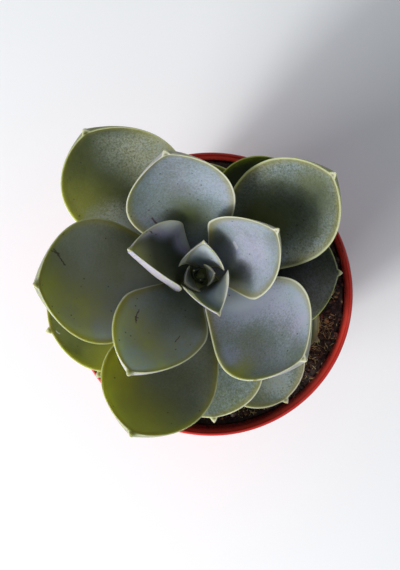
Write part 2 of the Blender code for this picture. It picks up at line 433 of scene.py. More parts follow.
@dataclass(frozen=True)
class LeafSkin:
    """Waxy green flesh under a powdery bloom.

    From the edge inwards each leaf has a cream margin, a band of clear olive flesh and then the
    powder. Painted backlight makes the flesh yellow-green where the light would reach it from
    behind, painted shade makes the heart and the shaded leaves near black, and more or less powder
    paints highlights and shade.
    """

    flesh: Colour = (0.070, 0.088, 0.032)
    deep_flesh: Colour = (0.044, 0.056, 0.024)
    painted_shade_flesh: Colour = (0.010, 0.013, 0.009)
    glow: Colour = (0.465, 0.460, 0.018)
    band: Colour = (0.210, 0.180, 0.022)
    warm: Colour = (0.235, 0.248, 0.180)
    bloom: Colour = (0.235, 0.290, 0.330)
    lilac: Colour = (0.300, 0.290, 0.380)
    thick_bloom_and_painted_highlight: Colour = (0.430, 0.480, 0.520)
    olive_back: Colour = (0.200, 0.210, 0.075)
    lilac_back: Colour = (0.420, 0.390, 0.470)
    margin: Colour = (0.270, 0.280, 0.130)
    pale_margin: Colour = (0.520, 0.520, 0.420)
    point: Colour = (0.440, 0.420, 0.310)
    speck: Colour = (0.035, 0.030, 0.020)
    dried: Colour = (0.075, 0.050, 0.030)
    roughness: float = 0.48
    band_width: float = 2.8
    margin_feather: float = 0.25
    margin_waver: float = 0.22
    patch_size: float = 9 * MM
    mottle_size: float = 14 * MM
    tint_size: float = 11 * MM
    grain_size: float = 0.7 * MM
    dot_cell: float = 3.4 * MM
    dot_radius: float = 0.065
    dot_strength: float = 0.7
    mark_strength: float = 0.85
    translucence: float = 0.5
    light_reach: float = 5 * MM
    marks: tuple[Mark, ...] = (
        Mark(9, (139, 310), (136, 316), 130, 0.30, Scar.PURPLE),
        Mark(9, (136, 316), (136.5, 322.5), 130, 0.30, Scar.PURPLE),
        Mark(9, (180, 336), (175, 342), 130, 0.22, Scar.PURPLE),
        Mark(10, (152.5, 218.5), (156.5, 223.5), 127, 0.45, Scar.PURPLE),
        Mark(10, (148, 210), (148.5, 210), 130, 0.35, Scar.PURPLE),
        Mark(12, (54.5, 249), (63.5, 265), 138, 0.30, Scar.BROWN),
        Mark(12, (52.5, 251), (58.5, 253.5), 138, 0.35, Scar.BROWN),
        Mark(8, (234, 242.5), (237, 248.5), 127, 0.55, Scar.PALE),
        Mark(17, (56, 331.5), (60, 334), 108, 0.22, Scar.PALE),
        Mark(7, (150, 231), (152, 233), 131, 0.30, Scar.BROWN),
        Mark(11, (254, 379.5), (263, 384), 135, 0.80, Scar.OLIVE),
        Mark(11, (263, 384), (275.5, 385.5), 135, 0.60, Scar.OLIVE),
    )
    view: View = View()

    def material(self) -> bpy.types.Material:
        """Builds the finish.

        Returns:
            The material.
        """
        graph = Graph("leaf skin")
        patchy = graph.reach(graph.noise(self.patch_size, 4, 0.55, shift=1), 0.45, 1.45)
        # Painted backlight: yellow-green flesh where the window's light would come through from
        # behind
        lit = graph.sum("MULTIPLY", graph.trait(Trait.GLOW), graph.reach(patchy, 1.15, 0.75))
        green = self.green(graph, lit)
        cover = self.cover(graph, patchy, lit)
        colour = graph.blend(cover, green, self.powder(graph))
        colour = self.marked(graph, self.edged(graph, colour, patchy, lit))
        along = graph.trait(Trait.ALONG)
        back = self.underside(graph, green, patchy, along)
        colour = graph.blend(graph.trait(Trait.UNDER), colour, back)
        colour = graph.blend(graph.step(along, 1.005, 1.03), colour, self.point)
        colour = graph.blend(graph.trait(Trait.DRY), colour, self.dried)
        graph.set("Base Color", colour)

        graph.set("Roughness", graph.reach(cover, self.roughness - 0.06, self.roughness + 0.12))
        graph.set("IOR", 1.45)
        graph.set("Specular IOR Level", 0.25)
        graph.set("Subsurface Weight", self.translucence)
        graph.set("Subsurface Radius", (0.9, 1.0, 0.25))
        graph.set("Subsurface Scale", self.light_reach)
        graph.set("Sheen Weight", 0.015)
        graph.set("Sheen Roughness", 0.5)
        fine = graph.relief(graph.noise(0.5 * MM, 2, 0.6, shift=5), 0.03 * MM)
        graph.set("Normal", graph.relief(graph.noise(3.2 * MM, 2, shift=6), 0.12 * MM, fine))
        return graph.material

    def green(self, graph: Graph, lit: bpy.types.NodeSocket) -> bpy.types.NodeSocket:
        """The bare flesh, painted near black as painted shade in the heart and shaded leaves,
        and yellow-green where painted backlight is laid.

        Args:
            graph: The material's graph.
            lit: Where painted backlight is laid on the flesh.

        Returns:
            The colour.
        """
        mottle = graph.step(graph.noise(self.mottle_size, 4, 0.6), 0.35, 0.65)
        green = graph.blend(mottle, self.deep_flesh, self.flesh)
        # Painted shade: the heart and the leaves in shadow are painted near black
        green = graph.blend(graph.trait(Trait.PAINTED_SHADE), green, self.painted_shade_flesh)
        return graph.blend(lit, green, self.glow)

    def powder(self, graph: Graph) -> bpy.types.NodeSocket:
        """The powder, from warm grey over blue to lilac, and whiter where it is thick; the
        thick, whiter powder is also laid as painted highlight.

        Args:
            graph: The material's graph.

        Returns:
            The colour.
        """
        wander = graph.reach(graph.noise(self.tint_size, 5, 0.6, shift=3), -1, 1)
        tint = graph.sum("ADD", graph.trait(Trait.TINT), wander)
        powder = graph.blend(graph.step(tint, 0.0, 1.0), self.bloom, self.lilac)
        powder = graph.blend(graph.step(tint, 0.0, -1.0), powder, self.warm)
        # Painted highlight: the thick, whiter powder is also laid where highlights are painted
        thick = graph.step(graph.trait(Trait.BLOOM), 1.1, 2.6)
        return graph.blend(thick, powder, self.thick_bloom_and_painted_highlight)

    def edged(
        self,
        graph: Graph,
        colour: bpy.types.NodeSocket,
        patchy: bpy.types.NodeSocket,
        lit: bpy.types.NodeSocket,
    ) -> bpy.types.NodeSocket:
        """Lays the band of clear flesh, the dots and the light margin over the colour.

        Args:
            graph: The material's graph.
            colour: The colour without them.
            patchy: Large patches, in some of which the dots stand.
            lit: Where painted backlight is laid on the flesh.

        Returns:
            The colour with them.
        """
        waver = graph.reach(graph.noise(8 * MM, 3), -self.margin_waver, self.margin_waver)
        inside = graph.sum("SUBTRACT", graph.trait(Trait.EDGE), graph.trait(Trait.MARGIN))
        inside = graph.sum("ADD", inside, waver)
        band = graph.step(inside, self.band_width, 0.0)
        # The olive band is laid more strongly under the painted backlight
        band = graph.sum("MULTIPLY", band, graph.reach(lit, 0.55, 1.0))
        # No olive band where painted shade is laid
        band = graph.sum("MULTIPLY", band, graph.reach(graph.trait(Trait.PAINTED_SHADE), 1.0, 0.0))
        colour = graph.blend(band, colour, self.band)
        dots = graph.spots(self.dot_cell, self.dot_radius, 0.05)
        dots = graph.sum("MULTIPLY", dots, graph.step(patchy, 0.85, 1.0))
        colour = graph.blend(graph.sum("MULTIPLY", dots, self.dot_strength), colour, self.speck)
        edge = graph.blend(graph.trait(Trait.PALE_MARGIN), self.margin, self.pale_margin)
        outside = graph.step(inside, self.margin_feather, -self.margin_feather)
        return graph.blend(outside, colour, edge)

    def underside(
        self,
        graph: Graph,
        green: bpy.types.NodeSocket,
        patchy: bpy.types.NodeSocket,
        along: bpy.types.NodeSocket,
    ) -> bpy.types.NodeSocket:
        """The back of the leaf, olive to lilac white, dark towards the stem, and painted near
        black as painted shade on the leaves of the heart.

        Args:
            graph: The material's graph.
            green: The bare flesh.
            patchy: Large patches.
            along: The place as a share of the leaf's length.

        Returns:
            The colour.
        """
        back = graph.blend(graph.trait(Trait.LILAC_BACK), self.olive_back, self.lilac_back)
        back = graph.blend(graph.reach(patchy, 0.30, 0.0), back, green)
        back = graph.blend(graph.step(along, 0.45, 0.12), back, self.deep_flesh)
        # Painted shade: near black backs on the leaves of the heart
        return graph.blend(graph.step(graph.trait(Trait.PAINTED_SHADE), 0.6, 1.0), back, self.painted_shade_flesh)

    def marked(self, graph: Graph, colour: bpy.types.NodeSocket) -> bpy.types.NodeSocket:
        """Lays the scratches and scars of single leaves over the colour.

        Args:
            graph: The material's graph.
            colour: The colour without them.

        Returns:
            The colour with them.
        """
        number = graph.trait(Trait.NUMBER)
        flat = graph.flat_place(0.9 * MM, 0.9 * MM)
        for mark in self.marks:
            start = self.view.under(mark.start, mark.height * MM)
            end = self.view.under(mark.end, mark.height * MM)
            line = graph.near_line(flat, start, end, mark.width * MM)
            own = graph.sum("COMPARE", number, float(mark.leaf))
            share = graph.sum("MULTIPLY", line, own, self.mark_strength)
            colour = graph.blend(share, colour, mark.scar.value)
        return colour

    def cover(
        self, graph: Graph, patchy: bpy.types.NodeSocket, lit: bpy.types.NodeSocket
    ) -> bpy.types.NodeSocket:
        """How much of the flesh the powder hides, in patches and fine grains. The amount is
        raised in places as painted highlight and lowered as painted shade.

        Args:
            graph: The material's graph.
            patchy: Large patches.
            lit: Where painted backlight is laid on the flesh, which the powder hardly hides.

        Returns:
            The share from 0 to 1.
        """
        grain = graph.step(graph.noise(self.grain_size, 3, 0.8, shift=2), 0.30, 0.70)
        grain = graph.reach(grain, -1.0, 1.0)
        grain = graph.sum("ADD", graph.sum("MULTIPLY", grain, graph.trait(Trait.GRAIN)), 1.0)
        clear = graph.reach(lit, 1.0, 0.25)
        cover = graph.sum("MULTIPLY", graph.trait(Trait.BLOOM), patchy, grain, clear)
        return graph.sum("MINIMUM", cover, 1.0)


@dataclass(frozen=True)
class PotPlastic:
    """Moulded red plastic, dusty outside and splashed with soil on its inner wall, whose upper
    band is painted a brighter red as painted light.
    """

    red: Colour = (0.600, 0.032, 0.020)
    deep_red: Colour = (0.450, 0.018, 0.013)
    painted_light_red: Colour = (1.000, 0.085, 0.055)
    dust: Colour = (0.480, 0.200, 0.150)
    soil: Colour = (0.030, 0.018, 0.012)
    roughness: float = 0.36
    dust_share: float = 0.30
    painted_light_from: float = 77 * MM
    painted_light_full: float = 85 * MM
    stain_top: float = 83 * MM
    stain_fade: float = 7 * MM
    stain_height: float = 0.15 * MM

    def material(self) -> bpy.types.Material:
        """Builds the finish.

        Returns:
            The material.
        """
        graph = Graph("pot plastic")
        flow = graph.noise(30 * MM, 2, place=graph.stretched((1, 1, 0.35)))
        colour = graph.blend(graph.step(flow, 0.35, 0.65), self.deep_red, self.red)
        dusty = graph.step(graph.noise(16 * MM, 4, 0.65), 0.50, 0.78)
        colour = graph.blend(graph.sum("MULTIPLY", dusty, self.dust_share), colour, self.dust)
        inside = graph.trait(Trait.INSIDE)
        level = graph.axis("Z")
        # Painted light: the upper band of the inner wall is painted a brighter red
        painted_light_band = graph.step(level, self.painted_light_from, self.painted_light_full)
        colour = graph.blend(graph.sum("MULTIPLY", inside, painted_light_band), colour, self.painted_light_red)
        waver = graph.reach(graph.noise(5 * MM, 3), -4 * MM, 4 * MM)
        height = graph.sum("ADD", level, waver)
        low = graph.step(height, self.stain_top, self.stain_top - self.stain_fade)
        crumbs = graph.step(graph.noise(0.9 * MM, 3, 0.7), 0.50, 0.58)
        film = graph.step(graph.noise(3 * MM, 4, 0.7, shift=4), 0.35, 0.75)
        splash = graph.sum("MAXIMUM", crumbs, graph.sum("MULTIPLY", film, 0.7))
        stain = graph.sum("MULTIPLY", inside, low, splash)
        colour = graph.blend(stain, colour, self.soil)
        graph.set("Base Color", colour)
        wear = graph.noise(6 * MM, 4, 0.6, shift=7)
        rough = graph.reach(wear, self.roughness - 0.07, self.roughness + 0.12)
        rough = graph.sum("MAXIMUM", rough, graph.sum("MULTIPLY", stain, 0.85))
        graph.set("Roughness", rough)
        graph.set("IOR", 1.49)
        graph.set("Subsurface Weight", 0.10)
        graph.set("Subsurface Radius", (1.0, 0.15, 0.10))
        graph.set("Subsurface Scale", 1.0 * MM)
        skin = graph.relief(graph.noise(0.8 * MM, 2), 0.02 * MM)
        graph.set("Normal", graph.relief(stain, self.stain_height, skin))
        return graph.material


@dataclass(frozen=True)
class PeatMatter:
    """Dark peat with reddish bark, tan coir and a few pale bits, each crumb of one tone."""

    peat: Colour = (0.011, 0.0070, 0.007)
    brown: Colour = (0.095, 0.050, 0.034)
    bark: Colour = (0.260, 0.095, 0.065)
    tan: Colour = (0.440, 0.260, 0.110)
    pale: Colour = (0.500, 0.440, 0.370)
    roughness: float = 0.78
    ground_tone: float = 0.20

    def material(self) -> bpy.types.Material:
        """Builds the finish.

        Returns:
            The material.
        """
        graph = Graph("peat")
        tone = graph.trait(Trait.TONE)
        clump = graph.step(graph.noise(1.6 * MM, 4, 0.7), 0.4, 0.7)
        ground = graph.blend(clump, self.peat, self.brown)
        colour = graph.blend(graph.step(tone, 0.30, 0.60), self.peat, self.brown)
        is_ground = graph.step(tone, self.ground_tone + 0.02, self.ground_tone)
        colour = graph.blend(is_ground, colour, ground)
        colour = graph.blend(graph.step(tone, 0.66, 0.80), colour, self.bark)
        colour = graph.blend(graph.step(tone, 0.90, 0.94), colour, self.tan)
        colour = graph.blend(graph.step(tone, 0.985, 0.99), colour, self.pale)
        streak = graph.step(graph.noise(0.6 * MM, 3, 0.7, shift=2), 0.25, 0.6)
        colour = graph.blend(streak, self.peat, colour)
        graph.set("Base Color", colour)
        rough = graph.reach(graph.noise(1 * MM, 3), self.roughness - 0.2, self.roughness + 0.2)
        graph.set("Roughness", rough)
        graph.set("Normal", graph.relief(graph.noise(0.6 * MM, 4, 0.7), 0.25 * MM))
        return graph.material


@dataclass(frozen=True)
class CoirStrand:
    """Tan coconut fibre, darker where it is damp."""

    light: Colour = (0.800, 0.640, 0.300)
    dark: Colour = (0.130, 0.080, 0.034)
    roughness: float = 0.6

    def material(self) -> bpy.types.Material:
        """Builds the finish.

        Returns:
            The material.
        """
        graph = Graph("coir")
        patchy = graph.reach(graph.noise(2 * MM, 3), 0.5, 1.5)
        dry = graph.step(graph.sum("MULTIPLY", graph.trait(Trait.TONE), patchy), 0.3, 0.9)
        graph.set("Base Color", graph.blend(dry, self.dark, self.light))
        rough = graph.reach(graph.noise(1 * MM, 2), self.roughness - 0.1, self.roughness + 0.2)
        graph.set("Roughness", rough)
        return graph.material


@dataclass(frozen=True)
class StemBark:
    """Woody stem, green at the heart and brown below, ringed by old leaf scars."""

    young: Colour = (0.150, 0.170, 0.060)
    old: Colour = (0.140, 0.090, 0.045)
    scar: Colour = (0.060, 0.038, 0.022)
    roughness: float = 0.72
    brown_up_to: float = 85 * MM
    green_from: float = 112 * MM

    def material(self) -> bpy.types.Material:
        """Builds the finish.

        Returns:
            The material.
        """
        graph = Graph("stem bark")
        grown = graph.step(graph.axis("Z"), self.brown_up_to, self.green_from)
        colour = graph.blend(grown, self.old, self.young)
        rings = graph.noise(2.5 * MM, 4, 0.65, place=graph.stretched((0.6, 0.6, 2.5)))
        colour = graph.blend(graph.step(rings, 0.5, 0.7), colour, self.scar)
        graph.set("Base Color", colour)
        graph.set("Roughness", graph.reach(rings, self.roughness - 0.12, self.roughness + 0.15))
        graph.set("Normal", graph.relief(rings, 0.3 * MM))
        return graph.material


@dataclass(frozen=True)
class PaleTable:
    """A smooth white table top."""

    white: Colour = (0.868, 0.872, 0.885)
    shade: Colour = (0.850, 0.855, 0.870)

    def material(self) -> bpy.types.Material:
        """Builds the finish.

        Returns:
            The material.
        """
        graph = Graph("pale table")
        graph.set("Base Color", graph.blend(graph.noise(0.3, 2), self.white, self.shade))
        graph.set("Roughness", graph.reach(graph.noise(0.05, 2), 0.60, 0.70))
        graph.set("Specular IOR Level", 0.2)
        return graph.material


class GrowthTree:
    """A Geometry Nodes tree under construction."""

    def __init__(self, name: str) -> None:
        """Starts a tree with a geometry input and output.

        Args:
            name: The tree's name.
        """
        self.group = bpy.data.node_groups.new(name, "GeometryNodeTree")
        sockets = self.group.interface
        sockets.new_socket(name="Geometry", in_out="INPUT", socket_type="NodeSocketGeometry")
        sockets.new_socket(name="Geometry", in_out="OUTPUT", socket_type="NodeSocketGeometry")
        self.source = self.group.nodes.new("NodeGroupInput")
        self.target = self.group.nodes.new("NodeGroupOutput")

    def number(self, name: str, whole: bool = False) -> bpy.types.NodeSocket:
        """Adds a named input.

        Args:
            name: The input's name.
            whole: Whether it takes whole numbers.

        Returns:
            The socket that gives its value inside the tree.
        """
        kind = "NodeSocketInt" if whole else "NodeSocketFloat"
        self.group.interface.new_socket(name=name, in_out="INPUT", socket_type=kind)
        return self.source.outputs[name]

    def node(
        self, kind: str, /, inputs: dict[str, object] | None = None, **settings: object
    ) -> bpy.types.Node:
        """Adds a node.

        Args:
            kind: Blender's name of the node.
            inputs: Sockets or plain values for its named inputs.
            settings: Values for its own properties.

        Returns:
            The node.
        """
        node = self.group.nodes.new(kind)
        for name, value in settings.items():
            setattr(node, name, value)
        for name, value in (inputs or {}).items():
            self.feed(value, self.input(node, name))
        return node

    def feed(self, value: object, socket: bpy.types.NodeSocket) -> None:
        """Feeds an input from another socket, or sets it to a plain value.

        Args:
            value: A socket or a value.
            socket: The input.
        """
        if isinstance(value, bpy.types.NodeSocket):
            self.group.links.new(value, socket)
        else:
            socket.default_value = value

    @staticmethod
    def input(node: bpy.types.Node, name: str) -> bpy.types.NodeSocket:
        """The input of that name which the node's settings leave in use."""
        return next(s for s in node.inputs if s.name == name and s.enabled)

    @staticmethod
    def out(node: bpy.types.Node) -> bpy.types.NodeSocket:
        """The first output that the node's settings leave in use."""
        return next(s for s in node.outputs if s.enabled)

    def sum(self, kind: str, first: object, second: object = 0.0) -> bpy.types.NodeSocket:
        """Works with one or two values.

        Args:
            kind: Blender's name of the operation.
            first: A socket or a number.
            second: The same.

        Returns:
            The result.
        """
        node = self.group.nodes.new("ShaderNodeMath")
        node.operation = kind
        self.feed(first, node.inputs[0])
        self.feed(second, node.inputs[1])
        return node.outputs[0]

    def random(self, low: object, high: object, draw: Draw) -> bpy.types.NodeSocket:
        """Draws a random number or vector for each element.

        Args:
            low: The lower limit, a number or a vector.
            high: The upper limit.
            draw: What it is drawn for.

        Returns:
            The value.
        """
        kind = "FLOAT_VECTOR" if isinstance(low, tuple) else "FLOAT"
        inputs = {"Min": low, "Max": high, "Seed": draw.value}
        return self.out(self.node("FunctionNodeRandomValue", inputs, data_type=kind))

    def marked(self, trait: Trait) -> bpy.types.NodeSocket:
        """The value of a point attribute of the geometry."""
        kind = "GeometryNodeInputNamedAttribute"
        return self.out(self.node(kind, {"Name": trait.value}, data_type="FLOAT"))

    def mark(
        self, geometry: bpy.types.NodeSocket, trait: Trait, value: object, domain: str = "POINT"
    ) -> bpy.types.NodeSocket:
        """Stores an attribute on the geometry.

        Args:
            geometry: What it is stored on.
            trait: The attribute.
            value: Its value.
            domain: The kind of element that carries it.

        Returns:
            The geometry with the attribute.
        """
        inputs = {"Geometry": geometry, "Name": trait.value, "Value": value}
        kind = "GeometryNodeStoreNamedAttribute"
        return self.out(self.node(kind, inputs, data_type="FLOAT", domain=domain))

    def finish(self, geometry: bpy.types.NodeSocket, material: bpy.types.Material) -> None:
        """Ends the tree with real geometry, smooth and in one material.

        Args:
            geometry: What the tree has made.
            material: Its finish.
        """
        real = self.out(self.node("GeometryNodeRealizeInstances", {"Geometry": geometry}))
        smooth = self.out(self.node("GeometryNodeSetShadeSmooth", {"Geometry": real}))
        dressed = self.node("GeometryNodeSetMaterial", {"Geometry": smooth, "Material": material})
        self.group.links.new(self.out(dressed), self.target.inputs[0])

    def grow(self, source: bpy.types.Mesh, values: dict[str, float]) -> bpy.types.Mesh:
        """Runs the tree on a mesh.

        Args:
            source: The mesh that it starts from.
            values: Values for the named inputs.

        Returns:
            The result as a plain mesh.
        """
        obj = bpy.data.objects.new(self.group.name, source)
        bpy.context.scene.collection.objects.link(obj)
        modifier = obj.modifiers.new(self.group.name, "NODES")
        modifier.node_group = self.group
        for item in self.group.interface.items_tree:
            if item.item_type == "SOCKET" and item.in_out == "INPUT" and item.name in values:
                modifier[item.identifier] = values[item.name]
        ready = obj.evaluated_get(bpy.context.evaluated_depsgraph_get())
        mesh = bpy.data.meshes.new_from_object(ready)
        obj.modifiers.clear()
        bpy.data.objects.remove(obj, do_unlink=True)
        return mesh


def add_piece(
    name: str,
    mesh: bpy.types.Mesh,
    material: bpy.types.Material | None = None,
    replaces: str | None = None,
) -> bpy.types.Object:
    """Puts a finished mesh into the scene as a piece of the object.

    Args:
        name: The piece's name.
        mesh: Its mesh, in place.
        material: Its material, if the mesh has none yet.
        replaces: The solid that it stands for.

    Returns:
        The piece.
    """
    piece = bpy.data.objects.new(name, mesh)
    bpy.context.scene.collection.objects.link(piece)
    if material:
        mesh.materials.clear()
        mesh.materials.append(material)
    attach(piece, "root")
    if replaces:
        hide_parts(replaces)
    return piece


def store(mesh: bpy.types.Mesh, trait: Trait, values: list[float]) -> None:
    """Writes a point attribute on a mesh."""
    layer = mesh.attributes.new(trait.value, "FLOAT", "POINT")
    layer.data.foreach_set("value", values)


def ringed_mesh(
    name: str, rings: list[list[Vector]], ends: tuple[Vector, Vector]
) -> bpy.types.Mesh:
    """A closed skin through rings of points, with one point at each end.

    Args:
        name: The mesh's name.
        rings: Rings from first to last, each anticlockwise as seen from the last end.
        ends: The first and the last point.

    Returns:
        The mesh. Its points are the first end, the rings in order and the last end.
    """
    sides = len(rings[0])
    points = [ends[0], *(point for ring in rings for point in ring), ends[1]]
    last = len(points) - 1
    faces = []
    for side in range(sides):
        beside = (side + 1) % sides
        faces.append((0, 1 + beside, 1 + side))
        faces.append((last, last - sides + side, last - sides + beside))
        for ring in range(len(rings) - 1):
            low = 1 + ring * sides
            faces.append((low + side, low + beside, low + sides + beside, low + sides + side))
    mesh = bpy.data.meshes.new(name)
    mesh.from_pydata(points, [], faces)
    mesh.shade_smooth()
    return mesh


@dataclass(frozen=True)
class Touch:
    """A soft patch of a leaf where its powder, its painted backlight or its margin differs.
    Many of them are painted highlights or painted shade.

    Along is the place of its middle as a share of the length, side the same across, from -1 to 1,
    and the reach is its radius as a share of the length.
    """

    along: float
    side: float
    reach: float
    bloom: float = 0
    glow: float = 0
    margin: float = 0


@dataclass(frozen=True)
class Leaf:
    """One leaf. Lengths are in millimetres, angles in degrees.

    The rise is the slope at the stem and the curl what it gains by the tip. A bend turns the
    tip sideways, and a roll tips the blade about its midrib. The shoulder is the share of the
    length where the leaf is widest, the roundness is small for a blunt end, thick is the
    thickness as a share of the length, and the cupping multiplies how far the margins are lifted
    at the leaf's age.

    The powder setting is how much powder covers the flesh, raised to paint highlights and
    lowered to paint shade, the tint runs from -1, warm grey, over 0, blue, to 1, lilac, the
    grain is how uneven the powder is, and rubbed is how much of it has gone from the middle.
    Where the shade setting is 1 the flesh is painted nearly black as painted shade. The glow
    setting is how much yellow-green painted backlight is laid where light would come through,
    the margin is the width of the light edge, which is cream where pale is 1, and the back runs
    from 0, olive, to 1, lilac white. A dry edge of 1 is brown.
    """

    azimuth: float
    length: float
    width: float
    rise: float
    curl: float
    bend: float = 0
    roll: float = 0
    shoulder: float = 0.61
    roundness: float = 0.57
    thick: float = 0.10
    cupping: float = 1
    bloom: float = 0.5
    tint: float = 0.3
    grain: float = 0.3
    rubbed: float = 0.2
    deep: float = 0
    glow: float = 0.1
    margin: float = 0.6
    pale: float = 0.3
    back: float = 0.3
    dry_edge: float = 0
    touches: tuple[Touch, ...] = ()

    def whole_traits(self) -> dict[Trait, float]:
        """What the finish reads that is the same all over the leaf.

        Returns:
            The values.
        """
        return {
            Trait.PALE_MARGIN: self.pale,
            Trait.TINT: self.tint,
            Trait.GRAIN: self.grain,
            Trait.PAINTED_SHADE: self.deep,
            Trait.LILAC_BACK: self.back,
        }

    def touched(self, along: float, side: float) -> tuple[float, float, float]:
        """Adds up the leaf's touches at a place.

        Args:
            along: The place as a share of the length.
            side: The place across, from -1 to 1.

        Returns:
            What they add to the powder, the glow and the margin.
        """
        bloom = glow = margin = 0.0
        for touch in self.touches:
            across = (side - touch.side) * self.width / 2 / self.length
            weight = smooth_step(1 - math.hypot(along - touch.along, across) / touch.reach)
            bloom += touch.bloom * weight
            glow += touch.glow * weight
            margin += touch.margin * weight
        return bloom, glow, margin

    def outline_share(
        self, along: float, base_share: float, base_flare: float, tip_fall: float
    ) -> float:
        """Half width of the blade as a share of its widest.

        Args:
            along: The place as a share of the length.
            base_share: The width at the base as a share of the widest.
            base_flare: How fast it widens from there.
            tip_fall: How fast it narrows to the tip.

        Returns:
            The share.
        """
        if along >= 1:
            return 0.0
        if along < self.shoulder:
            return mix(base_share, 1, 1 - (1 - along / self.shoulder) ** base_flare)
        beyond = (along - self.shoulder) / (1 - self.shoulder)
        return (1 - beyond**tip_fall) ** self.roundness


@dataclass(frozen=True)
class Section:
    """A cut across a leaf: its place and frame, its distance from the base and its sizes.

    The slant is the cosine of the angle between the margin and the midrib, and lifted is how far
    the margins stand above the midrib.
    """

    place: Vector
    across: Vector
    up: Vector
    distance: float
    half: float
    thick: float
    slant: float
    lifted: float


@dataclass(frozen=True)
class LeafForm:
    """Sizes that all the leaves share, as shares of a leaf's own length, width or thickness."""

    base_share: float = 0.30
    base_flare: float = 1.6
    tip_fall: float = 2.2
    least_thick: float = 1.6 * MM
    most_thick: float = 1.5
    base_thick: float = 0.62
    tip_thick: float = 0.38
    section_fullness: float = 2.6
    upper_share: float = 0.12
    cup_power: float = 2.2
    bend_power: float = 1.5
    point_width: float = 1.05
    point_spread: float = 0.09
    point_bluntness: float = 0.05 * MM
    least_point: float = 0.5 * MM
    longest_point: float = 2.0 * MM
    point_share: float = 0.035
    rounding_share: float = 0.07
    roll_full_from: float = 0.40
    cup_full_from: float = 0.55
    thickest_from: float = 0.35
    thins_after: float = 0.45
    thin_from: float = 0.95
    base_spacing: float = 1.2
    tip_spacing: float = 1.5
    rings: int = 96
    sides: int = 72
    midrib_steps: int = 60
    bead_height: float = 0.16 * MM
    bead_width: float = 1.7 * MM
    bead_middle: float = 0.45
    bead_steepness: float = 6
    unevenness: float = 0.22 * MM
    unevenness_size: float = 11 * MM
    dimple: float = 0.05 * MM
    dimple_size: float = 3.2 * MM
    slope_span: float = 0.3 * MM

    def point_length(self, leaf: Leaf) -> float:
        """Length of the small point beyond the blade."""
        return min(self.least_point + self.point_share * leaf.length * MM, self.longest_point)

    def base_rounding(self, leaf: Leaf, distance: float) -> float:
        """0 at the very base to 1 a little way out, along a quarter circle."""
        share = min(distance / (self.rounding_share * leaf.length * MM), 1)
        return math.sqrt(1 - (1 - share) ** 2)

    def half_width(self, leaf: Leaf, distance: float) -> float:
        """Half width of blade and point together, with the base rounded off.

        Args:
            leaf: The leaf.
            distance: How far from the base it is taken.

        Returns:
            The half width.
        """
        length = leaf.length * MM
        left = length + self.point_length(leaf) - distance
        rule = (self.base_share, self.base_flare, self.tip_fall)
        blade = leaf.width * MM / 2 * leaf.outline_share(distance / length, *rule)
        point = self.point_width * left * math.exp(-left / (self.point_spread * length))
        point += self.point_bluntness
        return math.hypot(blade, point) * self.base_rounding(leaf, distance)

    def thickness(self, leaf: Leaf, distance: float) -> float:
        """Thickness at the midrib.

        Args:
            leaf: The leaf.
            distance: How far from the base it is taken.

        Returns:
            The thickness.
        """
        along = distance / (leaf.length * MM)
        full = max(leaf.thick * leaf.length * MM, self.least_thick)
        growth = mix(self.base_thick, 1, smooth_step(along / self.thickest_from))
        thinned = smooth_step((along - self.thins_after) / (self.thin_from - self.thins_after))
        thick = full * growth * mix(1, self.tip_thick, thinned) * self.base_rounding(leaf, distance)
        return min(thick, self.most_thick * self.half_width(leaf, distance))

    def midrib(self, leaf: Leaf) -> list[tuple[Vector, Vector, Vector]]:
        """Places and frames along the leaf's middle, from the origin along +X.

        Args:
            leaf: The leaf.

        Returns:
            For each step the place, the direction across and the direction up.
        """
        step = (leaf.length * MM + self.point_length(leaf)) / self.midrib_steps
        place = Vector((0, 0, 0))
        frames = []
        for index in range(self.midrib_steps + 1):
            share = index * step / (leaf.length * MM)
            pitch = math.radians(leaf.rise + leaf.curl * share)
            yaw = math.radians(leaf.bend * share**self.bend_power)
            tilt = math.radians(leaf.roll) * smooth_step(share / self.roll_full_from)
            turned = (
                Matrix.Rotation(yaw, 3, "Z")
                @ Matrix.Rotation(-pitch, 3, "Y")
                @ Matrix.Rotation(tilt, 3, "X")
            )
            frames.append((place.copy(), turned @ Vector((0, 1, 0)), turned @ Vector((0, 0, 1))))
            place += turned @ Vector((step, 0, 0))
        return frames

    def sections(self, leaf: Leaf, cup: float) -> list[Section]:
        """Cuts a leaf across at every ring.

        Args:
            leaf: The leaf.
            cup: How far its margins are lifted, as a share of the half width.

        Returns:
            The sections from the base to the tip.
        """
        frames = self.midrib(leaf)
        total = leaf.length * MM + self.point_length(leaf)
        sections = []
        for index in range(1, self.rings):
            share = 1 - (1 - (index / self.rings) ** self.base_spacing) ** self.tip_spacing
            position = share * self.midrib_steps
            low = min(int(position), self.midrib_steps - 1)
            pairs = zip(frames[low], frames[low + 1])
            place, across, up = (first.lerp(second, position - low) for first, second in pairs)
            distance = share * total
            half = self.half_width(leaf, distance)
            ahead = self.half_width(leaf, min(distance + self.slope_span, total))
            behind = self.half_width(leaf, max(distance - self.slope_span, 0))
            slope = (ahead - behind) / (2 * self.slope_span)
            blade_share = min(distance / (leaf.length * MM), 1)
            section = Section(
                place, across, up, distance, half,
                thick=self.thickness(leaf, distance),
                slant=1 / math.sqrt(1 + slope * slope),
                lifted=cup * smooth_step(blade_share / self.cup_full_from) * half,
            )
            sections.append(section)
        return sections

    def skin_point(self, section: Section, turn: float) -> Vector:
        """A point of the plain skin.

        Args:
            section: The section that it lies on.
            turn: Its angle round the section, from one margin over the upper face.

        Returns:
            The point in the leaf's own frame.
        """
        side = math.cos(turn)
        fullness = math.sqrt(max(1 - abs(side) ** self.section_fullness, 0))
        face = self.upper_share if math.sin(turn) >= 0 else self.upper_share - 1
        height = section.lifted * abs(side) ** self.cup_power + face * fullness * section.thick
        return section.place + section.across * (section.half * side) + section.up * height

